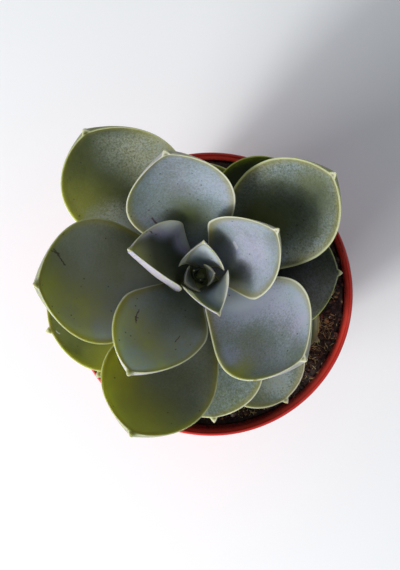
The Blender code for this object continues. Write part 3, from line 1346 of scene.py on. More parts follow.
    def relief(self, place: Vector, edge: float, upper: bool) -> float:
        """Height of the margin's bead and of the flesh's unevenness at a point.

        Args:
            place: The point.
            edge: Its distance from the margin.
            upper: Whether it lies on the upper face.

        Returns:
            The height above the plain skin.
        """
        wave = self.unevenness * noise.noise(place / self.unevenness_size)
        wave += self.dimple * noise.noise(place / self.dimple_size)
        settled = smooth_step(edge / (2 * self.bead_width))
        if not upper:
            return wave * settled
        from_bead = edge / self.bead_width - self.bead_middle
        return wave * settled + self.bead_height * math.exp(-(from_bead**2) * self.bead_steepness)


# From the heart outwards. Many powder, glow, margin and shade settings and touches paint light
# or shade: more powder and wide pale margins paint highlights, less powder and the shade
# setting paint shade, and the glow paints backlight.
LEAVES = (
    Leaf(273, 4, 3.5, rise=80, curl=10, bloom=0, glow=0, deep=1, margin=-1, pale=0, back=0),
    Leaf(
        140, 5.5, 5, rise=76, curl=8, shoulder=0.5, roundness=0.7,
        bloom=0, glow=0, deep=1, margin=-1, pale=0, back=0,
    ),
    # This leaf and the next have wide pale margins and thick powder as painted light on faces in
    # shade
    Leaf(
        10, 7.5, 7.5, rise=72, curl=0, shoulder=0.55, roundness=0.65,
        bloom=3, tint=-0.8, grain=0.1, glow=0.9, deep=0, margin=1.2, pale=0.6, back=0.6,
    ),
    Leaf(
        203, 8.5, 9.5, rise=73, curl=-4, shoulder=0.55, roundness=0.65,
        bloom=1.8, tint=-0.6, grain=0.1, glow=0.6, deep=0.1, margin=0.8, pale=0.7, back=0.8,
        touches=(Touch(0.7, 1, 0.6, bloom=1.2, margin=1.9),),
    ),
    Leaf(
        85, 17.5, 15.5, rise=64, curl=-2, shoulder=0.44, roundness=0.75, cupping=1.4,
        bloom=2.4, tint=0.2, grain=0.1, rubbed=0, margin=0.8, pale=0.9, back=0.8,
        touches=(Touch(0.6, 0.95, 0.5, margin=2.4), Touch(0.2, 0, 0.42, bloom=-1.6)),
    ),
    Leaf(
        296, 22.5, 16.5, rise=81, curl=-36, roll=-9, shoulder=0.40, roundness=0.75, cupping=1.9,
        bloom=0.35, tint=0.3, grain=0.1, rubbed=0, deep=0.4, margin=0.7, pale=1, back=1,
        touches=(Touch(0.6, 0.85, 0.44, bloom=4, margin=0.7), Touch(0.5, -1, 0.6, margin=2.6)),
    ),
    Leaf(
        156, 28.5, 23, rise=43, curl=2, bend=10, roll=28, shoulder=0.44, roundness=0.68,
        thick=0.18, cupping=1.85, bloom=0.1, tint=1.3, grain=0.1, rubbed=0, glow=0.3, deep=0.4,
        margin=0.4, pale=0.5, back=0.9,
        touches=(
            Touch(0.60, -1.1, 0.28, bloom=3.2),
            Touch(0.88, -0.9, 0.22, bloom=1.2),
            Touch(0.28, -1.05, 0.30, bloom=2.6),
            Touch(1, 0.2, 0.42, glow=1.2, bloom=0.8),
        ),
    ),
    Leaf(
        27, 37.5, 30, rise=50, curl=2, bend=12, shoulder=0.50,
        bloom=0.95, tint=0.45, grain=0.22, rubbed=0, margin=0.55, pale=0.75, back=0.8,
        touches=(
            Touch(1, -0.2, 0.28, bloom=-0.5),
            Touch(0.25, -0.5, 0.35, bloom=-0.8),
            Touch(0.35, 0.8, 0.3, bloom=-0.7),
        ),
    ),
    Leaf(
        232, 46.5, 31, rise=42, curl=6, bend=4, roll=9, shoulder=0.52,
        bloom=0.62, tint=-0.6, grain=0.2, glow=1, margin=0.45, pale=0.8, back=0.7,
        touches=(
            Touch(1, 0, 0.55, glow=0.95, bloom=1.5),
            Touch(0.6, -1, 0.4, glow=0.7, bloom=0.6),
            Touch(0.56, 0.68, 0.26, bloom=0.5, glow=0.4),
            Touch(0.2, 0.8, 0.25, bloom=-0.3),
        ),
    ),
    Leaf(
        103, 50.5, 36, rise=33, curl=26, bend=10, roll=-8,
        bloom=0.72, tint=0.25, grain=0.35, rubbed=0, margin=0.5, pale=0.85, back=0.7,
        touches=(Touch(0.62, -0.7, 0.3, bloom=0.35), Touch(0.42, -0.1, 0.34, bloom=-0.7)),
    ),
    Leaf(
        320, 50.5, 38, rise=28, curl=32, bend=4,
        bloom=0.56, tint=0.45, grain=0.4, rubbed=0, margin=0.6, pale=0.8, back=0.6,
        touches=(
            Touch(0.5, 0.8, 0.40, bloom=0.65),
            Touch(0.80, 0.75, 0.24, bloom=0.7),
            Touch(0.55, -0.25, 0.28, bloom=-0.28),
            Touch(0.66, -0.88, 0.18, bloom=-0.35, glow=0.5),
            Touch(0.50, -0.95, 0.20, bloom=0.9),
            Touch(0.1, 0.3, 0.42, bloom=2.3),
            Touch(0.98, 0.1, 0.22, bloom=-0.2),
        ),
    ),
    Leaf(
        183, 58.5, 42, rise=23, curl=28, bend=-1, roll=4,
        bloom=0.22, tint=-1, grain=0.2, glow=1, margin=0.4, pale=0.3,
        touches=(
            Touch(0.7, -0.8, 0.4, bloom=0.8),
            Touch(0.2, 0, 0.4, bloom=0.6),
            Touch(0.5, 1.25, 0.8, glow=0.9, bloom=2.0),
        ),
    ),
    Leaf(
        39, 58.5, 37, rise=21, curl=30, bend=-4, roll=5,
        bloom=0.2, tint=-0.5, grain=0.7, rubbed=1, deep=0.15, margin=0.7, pale=0.3,
        touches=(
            Touch(0.65, -0.85, 0.32, bloom=0.3),
            Touch(0.4, -0.8, 0.25, bloom=0.4),
            Touch(0.75, 0.7, 0.4, bloom=0.3),
        ),
    ),
    Leaf(
        249, 58.5, 39, rise=19, curl=28, bend=-9, roll=6,
        bloom=0.24, tint=-0.95, grain=0.25, glow=1, margin=0.35, pale=0.4,
        touches=(
            Touch(0.55, -0.2, 0.36, bloom=0.25),
            Touch(0.3, 0.3, 0.3, bloom=0.6),
            Touch(0.6, 0.9, 0.32, bloom=0.18),
            Touch(0.6, -1, 0.35, glow=0.7, bloom=-0.3),
        ),
    ),
    Leaf(
        129, 62.5, 42, rise=17, curl=28, bend=-1, roll=-12,
        bloom=0.02, tint=-0.7, grain=0.7, rubbed=0.4, glow=0.15, deep=0.5,
        margin=0.4, pale=0.2, back=0.1,
        touches=(
            Touch(0.55, -1.2, 0.48, bloom=1.7, glow=0.3),
            Touch(0.82, -0.3, 0.22, bloom=0.5),
            Touch(0.38, 0.65, 0.28, bloom=1.8, glow=-0.1),
            Touch(0.60, 1.15, 0.34, glow=0.45, bloom=0.2),
        ),
    ),
    Leaf(
        3, 42.5, 37, rise=12, curl=18, bend=-3, bloom=0.08, tint=0.7, grain=0.5, glow=0, deep=1,
        margin=0.15, pale=0, touches=(Touch(0.85, -0.5, 0.45, bloom=0.3, glow=0.12),),
    ),
    Leaf(
        198, 49.5, 43, rise=10, curl=-6, bend=3, bloom=0, glow=0.15, margin=0.35, pale=0.2, back=0,
        touches=(Touch(0.6, 0.9, 0.35, glow=0.6),),
    ),
    Leaf(
        52, 44, 34, rise=8, curl=4, bloom=0, glow=0.1, deep=0.8, margin=0.3, pale=0, back=0,
        touches=(Touch(0.7, -0.9, 0.3, glow=0.6),),
    ),
    Leaf(
        275, 43, 38, rise=7, curl=-8, bloom=0.33, tint=-0.1, grain=0.7, rubbed=0, deep=0.1,
        margin=0.4, pale=0.7, touches=(Touch(0.97, -0.6, 0.22, bloom=1.3, glow=0.25),),
    ),
    Leaf(140, 43.5, 34, rise=6, curl=2, bloom=0.1, margin=0.4),
    Leaf(332, 39.5, 28, rise=1, curl=0, bloom=0, glow=0, deep=0.5, margin=0.1, pale=0, dry_edge=1),
    Leaf(223, 43.5, 32, rise=1, curl=2, bloom=0.1, glow=0.6, margin=0.4, back=0),
    Leaf(92, 35.5, 34, rise=1, curl=-4, bloom=0.1, margin=0.4),
    Leaf(
        304, 47.5, 34, rise=-3, curl=-8, bend=2,
        bloom=0.42, tint=-0.5, grain=0.6, rubbed=0, glow=0.15, deep=0.2, margin=0.45, pale=0.6,
        touches=(Touch(0.84, 0.1, 0.24, bloom=0.9),),
    ),
)


@dataclass(frozen=True)
class Stem:
    """The stem, upright in the soil and leaning a little above it."""

    foot: Vector = Vector((-3.0 * MM, 5.0 * MM))
    top: Vector = Vector((-4.0 * MM, 6.5 * MM))
    soil_level: float = 75 * MM
    top_leaf_height: float = 121.5 * MM
    internode: float = 1.25 * MM
    depth: float = 22 * MM
    tip_radius: float = 0.7 * MM
    full_radius: float = 6.7 * MM
    swell: float = 0.8
    grown_age: float = 0.6
    rings: int = 90
    sides: int = 40
    scar_depth: float = 0.18 * MM
    scar_breadth: float = 3

    def place(self, height: float) -> Vector:
        """Middle of the stem at a height."""
        share = (height - self.soil_level) / (self.top_leaf_height - self.soil_level)
        return self.foot.lerp(self.top, min(max(share, 0), 1))

    def leaf_height(self, number: float) -> float:
        """Height where leaf number 0, 1, 2 and so on is attached."""
        return self.top_leaf_height - self.internode * number

    def age(self, number: float) -> float:
        """0 for the youngest leaf to 1 for the oldest."""
        return number / (len(LEAVES) - 1)

    def radius(self, height: float) -> float:
        """Radius at a height, which thins towards the heart.

        Args:
            height: The height.

        Returns:
            The radius.
        """
        number = (self.top_leaf_height - height) / self.internode
        share = min(max(self.age(number) / self.grown_age, 0), 1)
        return mix(self.tip_radius, self.full_radius, share**self.swell)

    def build(self) -> bpy.types.Object:
        """Builds the stem with the scars of its old leaves.

        Returns:
            The piece.
        """
        bottom = self.soil_level - self.depth
        top = self.top_leaf_height - self.internode / 2
        rings = []
        for index in range(self.rings):
            height = mix(bottom, top, index / (self.rings - 1))
            middle = self.place(height)
            ring = []
            for side in range(self.sides):
                turn = math.tau * side / self.sides
                x, y = math.cos(turn), math.sin(turn)
                breadth = self.scar_breadth
                spot = Vector((x * breadth, y * breadth, height / self.internode))
                radius = self.radius(height) + self.scar_depth * noise.noise(spot)
                ring.append(Vector((middle.x + radius * x, middle.y + radius * y, height)))
            rings.append(ring)
        ends = (Vector((*self.place(bottom), bottom)), Vector((*self.place(top), top)))
        mesh = ringed_mesh("stem", rings, ends)
        return add_piece("stem_fine", mesh, StemBark().material(), "stem")


@dataclass
class Rosette:
    """The leaves on their stem."""

    stem: Stem = field(default_factory=Stem)
    form: LeafForm = field(default_factory=LeafForm)
    skin: LeafSkin = field(default_factory=LeafSkin)
    gap: float = 0.3 * MM
    heart_cup: float = 0.60
    outer_cup: float = 0.18
    # The window's side of each leaf, towards which the painted backlight grows
    sunny_side: Vector = Vector((-0.74, -0.67))
    sun_from: float = -0.35
    margin_turn: float = 5
    dry_width: float = 3 * MM
    unrubbed_edge: float = 0.3

    def cup(self, number: int) -> float:
        """How far the margins are lifted. Young leaves wrap the heart, old ones lie flat."""
        grown = min(self.stem.age(number) / self.stem.grown_age, 1)
        return mix(self.heart_cup, self.outer_cup, grown)

    def seat(self, leaf: Leaf, number: int) -> Matrix:
        """Finds where a leaf is attached.

        Args:
            leaf: The leaf.
            number: Its place in the spiral, from 0.

        Returns:
            Its place and turn.
        """
        height = self.stem.leaf_height(number)
        middle = self.stem.place(height)
        turn = Matrix.Rotation(math.radians(leaf.azimuth), 4, "Z")
        outward = turn @ Vector((self.stem.radius(height) + self.gap, 0, 0))
        return Matrix.Translation(Vector((middle.x, middle.y, height)) + outward) @ turn

    def traits(
        self, leaf: Leaf, section: Section, turn: float, edge: float, sunward: float
    ) -> dict[Trait, float]:
        """What the finish reads at one point of a leaf.

        Args:
            leaf: The leaf.
            section: The section that the point lies on.
            turn: Its angle round the section.
            edge: Its distance from the margin.
            sunward: How far it lies towards the window, in half widths from the leaf's middle.

        Returns:
            The values.
        """
        along = section.distance / (leaf.length * MM)
        unrubbed = smooth_step(1 - edge / (self.unrubbed_edge * leaf.width * MM))
        bloom, glow, margin = leaf.touched(min(along, 1), math.cos(turn))
        bloom += leaf.bloom * mix(1 - leaf.rubbed, 1 + leaf.rubbed, unrubbed)
        # Painted backlight: yellow-green laid on the half of the leaf towards the window
        glow += leaf.glow * smooth_step((sunward - self.sun_from) / (1 - self.sun_from))
        return {
            Trait.EDGE: edge / MM,
            Trait.ALONG: along,
            Trait.UNDER: smooth_step(-math.sin(turn) * self.margin_turn),
            Trait.DRY: leaf.dry_edge * smooth_step(1 - edge / self.dry_width),
            Trait.BLOOM: max(bloom, 0),
            Trait.GLOW: min(max(glow, 0), 1),
            Trait.MARGIN: leaf.margin + margin,
        }

    def leaf_mesh(self, leaf: Leaf, number: int) -> bpy.types.Mesh:
        """One leaf's skin with the attributes that its finish reads.

        Args:
            leaf: The leaf.
            number: Its place in the spiral, from 0.

        Returns:
            The mesh, in place.
        """
        form = self.form
        seat = self.seat(leaf, number)
        midrib = [seat @ place for place, _, _ in form.midrib(leaf)]
        middle = midrib[int(form.midrib_steps * leaf.shoulder)]
        rings: list[list[Vector]] = []
        rows: list[dict[Trait, float]] = [{}]
        for section in form.sections(leaf, self.cup(number) * leaf.cupping):
            normal = seat.to_3x3() @ section.up
            ring = []
            for step in range(form.sides):
                turn = math.tau * step / form.sides
                upper = math.sin(turn) >= 0
                edge = (1 - abs(math.cos(turn))) * section.half * section.slant
                point = seat @ form.skin_point(section, turn)
                point += normal * ((1 if upper else -1) * form.relief(point, edge, upper))
                sunward = (point - middle).xy.dot(self.sunny_side) / (leaf.width / 2 * MM)
                rows.append(self.traits(leaf, section, turn, edge, sunward))
                ring.append(point)
            rings.append(ring)
        point_share = form.point_length(leaf) / (leaf.length * MM)
        rows.append({Trait.ALONG: 1 + point_share, Trait.MARGIN: leaf.margin})
        mesh = ringed_mesh(f"leaf {number + 1}", rings, (midrib[0], midrib[-1]))
        for trait in rows[1]:
            store(mesh, trait, [row.get(trait, 0.0) for row in rows])
        for trait, value in leaf.whole_traits().items():
            store(mesh, trait, [value] * len(rows))
        store(mesh, Trait.NUMBER, [float(number + 1)] * len(rows))
        return mesh

    def build(self) -> list[bpy.types.Object]:
        """Builds the stem and every leaf.

        Returns:
            The pieces.
        """
        skin = self.skin.material()
        pieces = [self.stem.build()]
        for number, leaf in enumerate(LEAVES):
            node = f"leaf_{number + 1:02d}"
            mesh = self.leaf_mesh(leaf, number)
            pieces.append(add_piece(f"{node}_fine", mesh, skin, node))
        return pieces


@dataclass
class Pot:
    """The round pot: a band under its lip, a step below the band, and a tapered side."""

    height: float = 88 * MM
    rim_radius: float = 52.5 * MM
    rim_wall: float = 1.2 * MM
    band: float = 18 * MM
    taper: float = 0.7 * MM
    step_width: float = 1.8 * MM
    step_height: float = 1.2 * MM
    wall: float = 1.1 * MM
    base_radius: float = 37 * MM
    base_thickness: float = 1.6 * MM
    base_rounding: float = 1.5 * MM
    turns: int = 216
    arc_steps: int = 6
    drain_holes: int = 6
    drain_hole_radius: float = 3.5 * MM
    drain_circle: float = 24 * MM
    drill_sides: int = 32
    step_rounding: float = 0.35 * MM
    lip_depth: float = 2 * MM
    lip_inset: float = 0.05 * MM
    band_inset: float = 0.1 * MM
    band_inset_depth: float = 3 * MM
    recess_edge: float = 6 * MM
    recess_slant: float = 0.6 * MM
    recess_depth: float = 0.5 * MM
    weld_distance: float = 0.001 * MM
    crease_angle: float = 40
    plastic: PotPlastic = field(default_factory=PotPlastic)

    def side_radius(self, height: float) -> float:
        """Outer radius of the tapered side below the band.

        Args:
            height: The height.

        Returns:
            The radius.
        """
        top_radius = self.rim_radius - self.taper - self.step_width
        top_height = self.height - self.band - self.step_height
        return mix(self.base_radius, top_radius, height / top_height)

    def arc(
        self, radius: float, height: float, size: float, start: float, end: float
    ) -> list[tuple[float, float]]:
        """Draws an arc.

        Args:
            radius: How far its middle lies from the pot's axis.
            height: Height of its middle.
            size: Its own radius.
            start: The angle where it starts, in degrees.
            end: The angle where it ends.

        Returns:
            Its points as (radius, height).
        """
        shares = [step / self.arc_steps for step in range(self.arc_steps + 1)]
        angles = [math.radians(mix(start, end, share)) for share in shares]
        return [(radius + size * math.cos(turn), height + size * math.sin(turn)) for turn in angles]

    def inner_profile(self) -> list[tuple[float, float]]:
        """Draws the inner face, from the floor's middle to the lip.

        Returns:
            Its points as (radius, height).
        """
        step = self.height - self.band
        inner_top = self.side_radius(step - self.step_height) - self.wall
        rounding = self.base_rounding
        round_radius = self.side_radius(self.base_thickness) - self.wall - rounding
        points = [(0.0, self.base_thickness)]
        points += self.arc(round_radius, self.base_thickness + rounding, rounding, -90, -10)
        points += [
            (inner_top, step - self.step_height + self.wall),
            (self.rim_radius - self.taper - self.rim_wall, step + self.wall),
            (self.rim_radius - self.rim_wall - self.lip_inset, self.height - self.lip_depth),
        ]
        return points

    def outer_profile(self) -> list[tuple[float, float]]:
        """Draws the lip and the outer face, down to the base's middle.

        Returns:
            Its points as (radius, height).
        """
        step = self.height - self.band
        lip = self.rim_wall / 2
        edge = self.step_rounding
        foot = self.rim_radius - self.taper
        under = self.side_radius(step - self.step_height)
        points = self.arc(self.rim_radius - lip, self.height - lip, lip, 180, 0)
        points.append((self.rim_radius - self.band_inset, self.height - self.band_inset_depth))
        points += self.arc(foot - edge, step + edge, edge, 0, -70)
        points += self.arc(under + edge, step - self.step_height - edge, edge, 110, 180)
        rounding = self.base_rounding
        points += self.arc(self.side_radius(rounding) - rounding, rounding, rounding, -5, -90)
        ring = self.base_radius - self.recess_edge
        depth = self.recess_depth
        return [*points, (ring, 0.0), (ring - self.recess_slant, depth), (0.0, depth)]

    def profile_mesh(self) -> bpy.types.Mesh:
        """Draws the whole profile.

        Returns:
            A chain of points, with those of the inner face marked.
        """
        inner = self.inner_profile()
        outer = self.outer_profile()
        mesh = bpy.data.meshes.new("pot profile")
        chain = [Vector((radius, 0, height)) for radius, height in inner + outer]
        mesh.from_pydata(chain, [(index, index + 1) for index in range(len(chain) - 1)], [])
        store(mesh, Trait.INSIDE, [1.0] * len(inner) + [0.0] * len(outer))
        return mesh

    def turning_tree(self) -> GrowthTree:
        """Plans the pot: the profile is turned into a shell and the drain holes are drilled.

        Returns:
            The tree.
        """
        tree = GrowthTree("turned pot")
        turns = tree.number("Turns", whole=True)
        holes = tree.number("Drain holes", whole=True)
        hole_radius = tree.number("Drain hole radius")
        circle = tree.number("Drain circle radius")
        chain = tree.source.outputs["Geometry"]
        size = tree.node("GeometryNodeAttributeDomainSize", {"Geometry": chain})
        count = size.outputs["Point Count"]
        around = tree.sum("ADD", turns, 1.0)
        grid = tree.node("GeometryNodeMeshGrid", {"Vertices X": count, "Vertices Y": around})
        index = tree.out(tree.node("GeometryNodeInputIndex"))
        row = tree.sum("FLOOR", tree.sum("DIVIDE", index, around))
        column = tree.sum("SUBTRACT", index, tree.sum("MULTIPLY", row, around))
        position = tree.out(tree.node("GeometryNodeInputPosition"))
        inputs = {"Geometry": chain, "Value": position, "Index": row}
        spot = tree.out(tree.node("GeometryNodeSampleIndex", inputs, data_type="FLOAT_VECTOR"))
        inputs = {"Geometry": chain, "Value": tree.marked(Trait.INSIDE), "Index": row}
        inside = tree.out(tree.node("GeometryNodeSampleIndex", inputs, data_type="FLOAT"))
        split = tree.node("ShaderNodeSeparateXYZ", {"Vector": spot})
        angle = tree.sum("MULTIPLY", tree.sum("DIVIDE", column, turns), math.tau)
        ring = tree.node(
            "ShaderNodeCombineXYZ",
            {
                "X": tree.sum("MULTIPLY", split.outputs["X"], tree.sum("COSINE", angle)),
                "Y": tree.sum("MULTIPLY", split.outputs["X"], tree.sum("SINE", angle)),
                "Z": split.outputs["Z"],
            },
        )
        marked = tree.mark(tree.out(grid), Trait.INSIDE, inside)
        inputs = {"Geometry": marked, "Position": tree.out(ring)}
        shell = tree.out(tree.node("GeometryNodeSetPosition", inputs))
        inputs = {"Geometry": shell, "Distance": self.weld_distance}
        welded = tree.node("GeometryNodeMergeByDistance", inputs)
        depth = 4 * self.base_thickness
        inputs = {"Vertices": self.drill_sides, "Radius": hole_radius, "Depth": depth}
        drill = tree.out(tree.node("GeometryNodeMeshCylinder", inputs))
        seats = tree.out(tree.node("GeometryNodeMeshCircle", {"Vertices": holes, "Radius": circle}))
        drills = tree.node("GeometryNodeInstanceOnPoints", {"Points": seats, "Instance": drill})
        real = tree.node("GeometryNodeRealizeInstances", {"Geometry": tree.out(drills)})
        drilled = tree.node("GeometryNodeMeshBoolean", operation="DIFFERENCE")
        tree.feed(tree.out(welded), drilled.inputs["Mesh 1"])
        tree.feed(tree.out(real), drilled.inputs["Mesh 2"])
        tree.finish(drilled.outputs["Mesh"], self.plastic.material())
        return tree

    def build(self) -> bpy.types.Object:
        """Builds the pot.

        Returns:
            The piece.
        """
        values = {
            "Turns": self.turns,
            "Drain holes": self.drain_holes,
            "Drain hole radius": self.drain_hole_radius,
            "Drain circle radius": self.drain_circle,
        }
        mesh = self.turning_tree().grow(self.profile_mesh(), values)
        mesh.set_sharp_from_angle(angle=math.radians(self.crease_angle))
        return add_piece("pot_fine", mesh, replaces="pot")


@dataclass(frozen=True)
class Crumbs:
    """How crumbs are strewn: how many on a square metre, their radii, and how near the wall."""

    density: float = 6.0e5
    smallest: float = 0.32 * MM
    largest: float = 1.7 * MM
    margin: float = 1.6 * MM
    seed: int = 3

    def values(self) -> dict[str, float]:
        """Values for the inputs of the tree of crumbs."""
        sizes = {"Smallest": self.smallest, "Largest": self.largest}
        return {"Density": self.density, **sizes, "Seed": self.seed}


@dataclass(frozen=True)
class Fibres:
    """How fibres are strewn: how many on a square metre, their sizes, and how near the wall."""

    density: float
    length: float
    thickness: float
    margin: float
    seed: int

    def values(self) -> dict[str, float]:
        """Values for the inputs of the tree of fibres."""
        sizes = {"Length": self.length, "Thickness": self.thickness}
        return {"Density": self.density, **sizes, "Seed": self.seed}


@dataclass
class Soil:
    """Peat that fills the pot to below its lip, with crumbs and fibres on top."""

    level: float = 75 * MM
    slope: Vector = Vector((0.03, 0.05))
    lump: float = 1.3 * MM
    lump_size: float = 7 * MM
    clod: float = 0.55 * MM
    clod_size: float = 2.4 * MM
    crumb: float = 0.22 * MM
    crumb_size: float = 0.9 * MM
    radius: float = 50.25 * MM
    foot_radius: float = 34.5 * MM
    foot_height: float = 2.2 * MM
    shoulder_radius: float = 46.5 * MM
    shoulder_height: float = 66 * MM
    rings: int = 90
    sides: int = 300
    stem_hole: float = 7.4 * MM
    stem_clearance: float = 2 * MM
    surface_depth: float = 5 * MM
    low_side: float = 8 * MM
    fibre_clump: float = 9 * MM
    fibre_sparsity: float = 0.35
    low_side_gain: float = 0.5
    tangle_clump: float = 5 * MM
    tangle_sparsity: float = -0.35
    crumbs: Crumbs = Crumbs()
    long_fibres: Fibres = Fibres(2.2e5, 6.5 * MM, 0.12 * MM, margin=3.5 * MM, seed=5)
    short_fibres: Fibres = Fibres(1.9e6, 3.0 * MM, 0.11 * MM, margin=1.8 * MM, seed=8)
    fibre_tip: float = 0.35
    peat: PeatMatter = field(default_factory=PeatMatter)
    coir: CoirStrand = field(default_factory=CoirStrand)

    def top(self, x: float, y: float) -> float:
        """Height of the surface.

        Args:
            x: The place along X.
            y: The place along Y.

        Returns:
            The height.
        """
        spot = Vector((x, y, 0))
        height = self.level + self.slope.dot(Vector((x, y)))
        height += self.lump * noise.noise(spot / self.lump_size)
        height += self.clod * noise.noise(spot / self.clod_size)
        return height + self.crumb * noise.noise(spot / self.crumb_size)

    def ground_mesh(self) -> bpy.types.Mesh:
        """Builds the body of the soil with its uneven surface.

        Returns:
            The mesh.
        """
        rings = [
            self.level_ring(self.foot_radius, self.foot_height),
            self.level_ring(self.shoulder_radius, self.shoulder_height),
        ]
        for index in range(self.rings):
            radius = self.radius * (1 - index / self.rings)
            ring = []
            for side in range(self.sides):
                turn = math.tau * side / self.sides
                x, y = radius * math.cos(turn), radius * math.sin(turn)
                ring.append(Vector((x, y, self.top(x, y))))
            rings.append(ring)
        ends = (Vector((0, 0, self.foot_height)), Vector((0, 0, self.top(0, 0))))
        return ringed_mesh("soil", rings, ends)

    def level_ring(self, radius: float, height: float) -> list[Vector]:
        """A plain ring of points."""
        turns = [math.tau * side / self.sides for side in range(self.sides)]
        return [Vector((radius * math.cos(t), radius * math.sin(t), height)) for t in turns]

    def crumb_tree(self) -> GrowthTree:
        """Plans crumbs strewn over a surface.

        Returns:
            The tree.
        """
        tree = GrowthTree("soil crumbs")
        density = tree.number("Density")
        smallest = tree.number("Smallest")
        largest = tree.number("Largest")
        seed = tree.number("Seed", whole=True)
        points = self.strewn(tree, density, seed)
        crumb = tree.node("GeometryNodeMeshIcoSphere", {"Radius": 1.0, "Subdivisions": 1})
        size = tree.sum("POWER", tree.random(0.0, 1.0, Draw.CRUMB_SIZE), 3.0)
        size = tree.sum("MULTIPLY", size, tree.sum("SUBTRACT", largest, smallest))
        size = tree.sum("ADD", smallest, size)
        stretch = tree.random((0.7, 0.5, 0.35), (1.3, 1.0, 0.8), Draw.CRUMB_STRETCH)
        scale = tree.node("ShaderNodeVectorMath", operation="SCALE")
        tree.feed(stretch, scale.inputs[0])
        tree.feed(size, tree.input(scale, "Scale"))
        full_turn = (math.tau, math.tau, math.tau)
        inputs = {
            "Points": points,
            "Instance": tree.out(crumb),
            "Rotation": tree.random((0.0, 0.0, 0.0), full_turn, Draw.CRUMB_TURN),
            "Scale": tree.out(scale),
        }
        crumbs = tree.out(tree.node("GeometryNodeInstanceOnPoints", inputs))
        tone = tree.random(0.0, 1.0, Draw.CRUMB_TONE)
        crumbs = tree.mark(crumbs, Trait.TONE, tone, "INSTANCE")
        tree.finish(crumbs, self.peat.material())
        return tree

    def fibre_tree(self) -> GrowthTree:
        """Plans bent fibres strewn over a surface.

        Returns:
            The tree.
        """
        tree = GrowthTree("coir fibres")
        density = tree.number("Density")
        length = tree.number("Length")
        thickness = tree.number("Thickness")
        seed = tree.number("Seed", whole=True)
        points = self.strewn(tree, density, seed)
        tip = self.fibre_tip
        inputs = {
            "Resolution": 6,
            "Start": (-0.5, 0.0, 0.0),
            "Middle": (0.0, 0.22, 0.1),
            "End": (0.5, 0.0, 0.0),
        }
        bend = tree.node("GeometryNodeCurveQuadraticBezier", inputs)
        slim = tree.sum("DIVIDE", thickness, length)
        ring = tree.node("GeometryNodeCurvePrimitiveCircle", {"Resolution": 4, "Radius": slim})
        inputs = {"Curve": tree.out(bend), "Profile Curve": tree.out(ring), "Fill Caps": True}
        strand = tree.out(tree.node("GeometryNodeCurveToMesh", inputs))
        size = tree.sum("MULTIPLY", length, tree.random(0.3, 1.0, Draw.FIBRE_LENGTH))
        inputs = {
            "Points": points,
            "Instance": strand,
            "Rotation": tree.random((-tip, -tip, 0.0), (tip, tip, math.tau), Draw.FIBRE_TURN),
            "Scale": size,
        }
        strands = tree.out(tree.node("GeometryNodeInstanceOnPoints", inputs))
        tone = tree.random(0.0, 1.0, Draw.FIBRE_TONE)
        strands = tree.mark(strands, Trait.TONE, tone, "INSTANCE")
        tree.finish(strands, self.coir.material())
        return tree

    @staticmethod
    def strewn(tree: GrowthTree, density: object, seed: object) -> bpy.types.NodeSocket:
        """Points strewn over the geometry that goes into a tree."""
        inputs = {"Mesh": tree.source.outputs["Geometry"], "Density": density, "Seed": seed}
        return tree.out(tree.node("GeometryNodeDistributePointsOnFaces", inputs))

    def bare_patch(
        self, ground: bpy.types.Mesh, margin: float, keep: Callable[[Vector], bool]
    ) -> bpy.types.Mesh:
        """A copy of the top of the ground, without its edge.

        Args:
            ground: The ground's mesh.
            margin: Width of the edge that is left out.
            keep: Whether a face with that middle stays.

        Returns:
            The copy.
        """
        faces = [
            tuple(face.vertices)
            for face in ground.polygons
            if face.center.z > self.level - self.surface_depth
            and face.center.xy.length < self.radius - margin
            and keep(face.center)
        ]
        patch = bpy.data.meshes.new("bare patch")
        patch.from_pydata([vertex.co.copy() for vertex in ground.vertices], [], faces)
        return patch

    def build(self, stem: Stem) -> list[bpy.types.Object]:
        """Builds the ground, its crumbs and its fibres.

        Args:
            stem: The stem, round which nothing is strewn.

        Returns:
            The pieces.
        """
        ground = self.ground_mesh()
        store(ground, Trait.TONE, [self.peat.ground_tone] * len(ground.vertices))

        def clear_of_stem(place: Vector) -> bool:
            """Whether a place is outside the stem's hole."""
            return (place.xy - stem.foot).length > self.stem_hole + self.stem_clearance

        def fibrous(place: Vector) -> bool:
            """Whether a place lies where fibres gather."""
            sparse = self.fibre_sparsity - self.low_side_gain * smooth_step(-place.y / self.radius)
            return clear_of_stem(place) and noise.noise(place / self.fibre_clump) > sparse

        def tangled(place: Vector) -> bool:
            """Whether a place lies in the matted fibre at the soil's low side."""
            low = place.y < -self.low_side and place.x > self.low_side
            return low and noise.noise(place / self.tangle_clump) > self.tangle_sparsity

        patch = self.bare_patch(ground, self.crumbs.margin, clear_of_stem)
        crumb_mesh = self.crumb_tree().grow(patch, self.crumbs.values())
        patch = self.bare_patch(ground, self.long_fibres.margin, fibrous)
        fibre_mesh = self.fibre_tree().grow(patch, self.long_fibres.values())
        patch = self.bare_patch(ground, self.short_fibres.margin, tangled)
        tangle_mesh = self.fibre_tree().grow(patch, self.short_fibres.values())
        return [
            add_piece("soil_fine", ground, self.peat.material(), "soil"),
            add_piece("soil_crumbs", crumb_mesh),
            add_piece("soil_fibres", fibre_mesh),
            add_piece("soil_tangle", tangle_mesh),
        ]


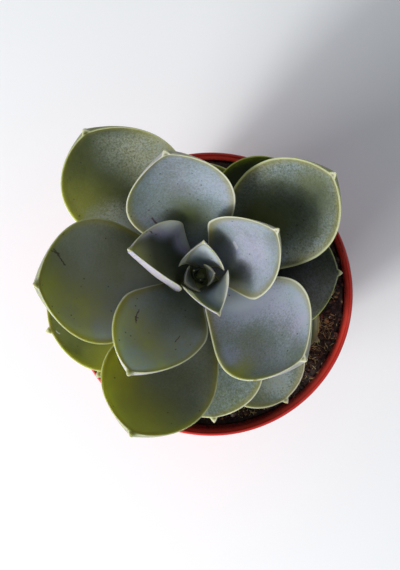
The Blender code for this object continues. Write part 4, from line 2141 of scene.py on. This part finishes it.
@dataclass(frozen=True)
class Lamp:
    """A square soft light that faces the plant. The angles are in degrees, seen from the plant."""

    name: str
    azimuth: float
    elevation: float
    distance: float
    size: float
    power: float
    colour: Colour = (0.975, 0.988, 0.975)
    aim: Vector = Vector((0, 0, 0.1))

    def build(self) -> None:
        """Hangs the light."""
        light = bpy.data.lights.new(self.name, "AREA")
        light.size = self.size
        light.energy = self.power
        light.color = self.colour
        azimuth = math.radians(self.azimuth)
        elevation = math.radians(self.elevation)
        level = math.cos(elevation)
        away = Vector((math.cos(azimuth) * level, math.sin(azimuth) * level, math.sin(elevation)))
        lamp = bpy.data.objects.new(self.name, light)
        lamp.location = self.aim + away * self.distance
        lamp.rotation_euler = (-away).to_track_quat("-Z", "Y").to_euler()
        bpy.context.scene.collection.objects.link(lamp)


@dataclass
class Studio:
    """The pale table, the window's light and the camera straight above."""

    camera_place: Vector = View.camera
    lens: float = 68.3
    sensor: float = 36
    nearest: float = 10 * MM
    window: Lamp = Lamp("window", azimuth=219, elevation=27, distance=1.3, size=0.95, power=18.4)
    beam: Lamp = Lamp("sunny beam", azimuth=222, elevation=31, distance=1.3, size=0.22, power=9)
    sky: Colour = (0.86, 0.93, 1.0)
    sky_strength: float = 0.38
    table_size: float = 4.0
    table_drop: float = 0.05 * MM

    def build(self) -> None:
        """Builds the table, the light and the camera."""
        half, low = self.table_size / 2, -self.table_drop
        corners = [(-half, -half, low), (half, -half, low), (half, half, low), (-half, half, low)]
        mesh = bpy.data.meshes.new("table")
        mesh.from_pydata(corners, [], [(0, 1, 2, 3)])
        mesh.materials.append(PaleTable().material())
        table = bpy.data.objects.new("table", mesh)
        bpy.context.scene.collection.objects.link(table)
        self.window.build()
        self.beam.build()
        self.add_sky()
        self.add_camera()

    def add_sky(self) -> None:
        """The faint light of the room from all round."""
        world = bpy.data.worlds.new("room")
        world.use_nodes = True
        background = world.node_tree.nodes["Background"]
        background.inputs["Color"].default_value = (*self.sky, 1)
        background.inputs["Strength"].default_value = self.sky_strength
        bpy.context.scene.world = world

    def add_camera(self) -> None:
        """The camera straight above the pot."""
        data = bpy.data.cameras.new("camera")
        data.lens = self.lens
        data.sensor_width = self.sensor
        data.clip_start = self.nearest
        camera = bpy.data.objects.new("camera", data)
        camera.location = self.camera_place
        bpy.context.scene.collection.objects.link(camera)
        bpy.context.scene.camera = camera
        bpy.context.scene.view_settings.view_transform = "Standard"


def main() -> None:
    """Builds the studio and every sub-assembly in order, and reports each piece."""
    logging.basicConfig(level=logging.INFO, format="%(message)s", stream=sys.stdout)
    Studio().build()
    rosette = Rosette()
    pieces = [Pot().build(), *Soil().build(rosette.stem), *rosette.build()]
    for piece in pieces:
        triangles = sum(len(face.vertices) - 2 for face in piece.data.polygons)
        LOG.info("%s: %d triangles", piece.name, triangles)


if __name__ == "__main__":
    main()
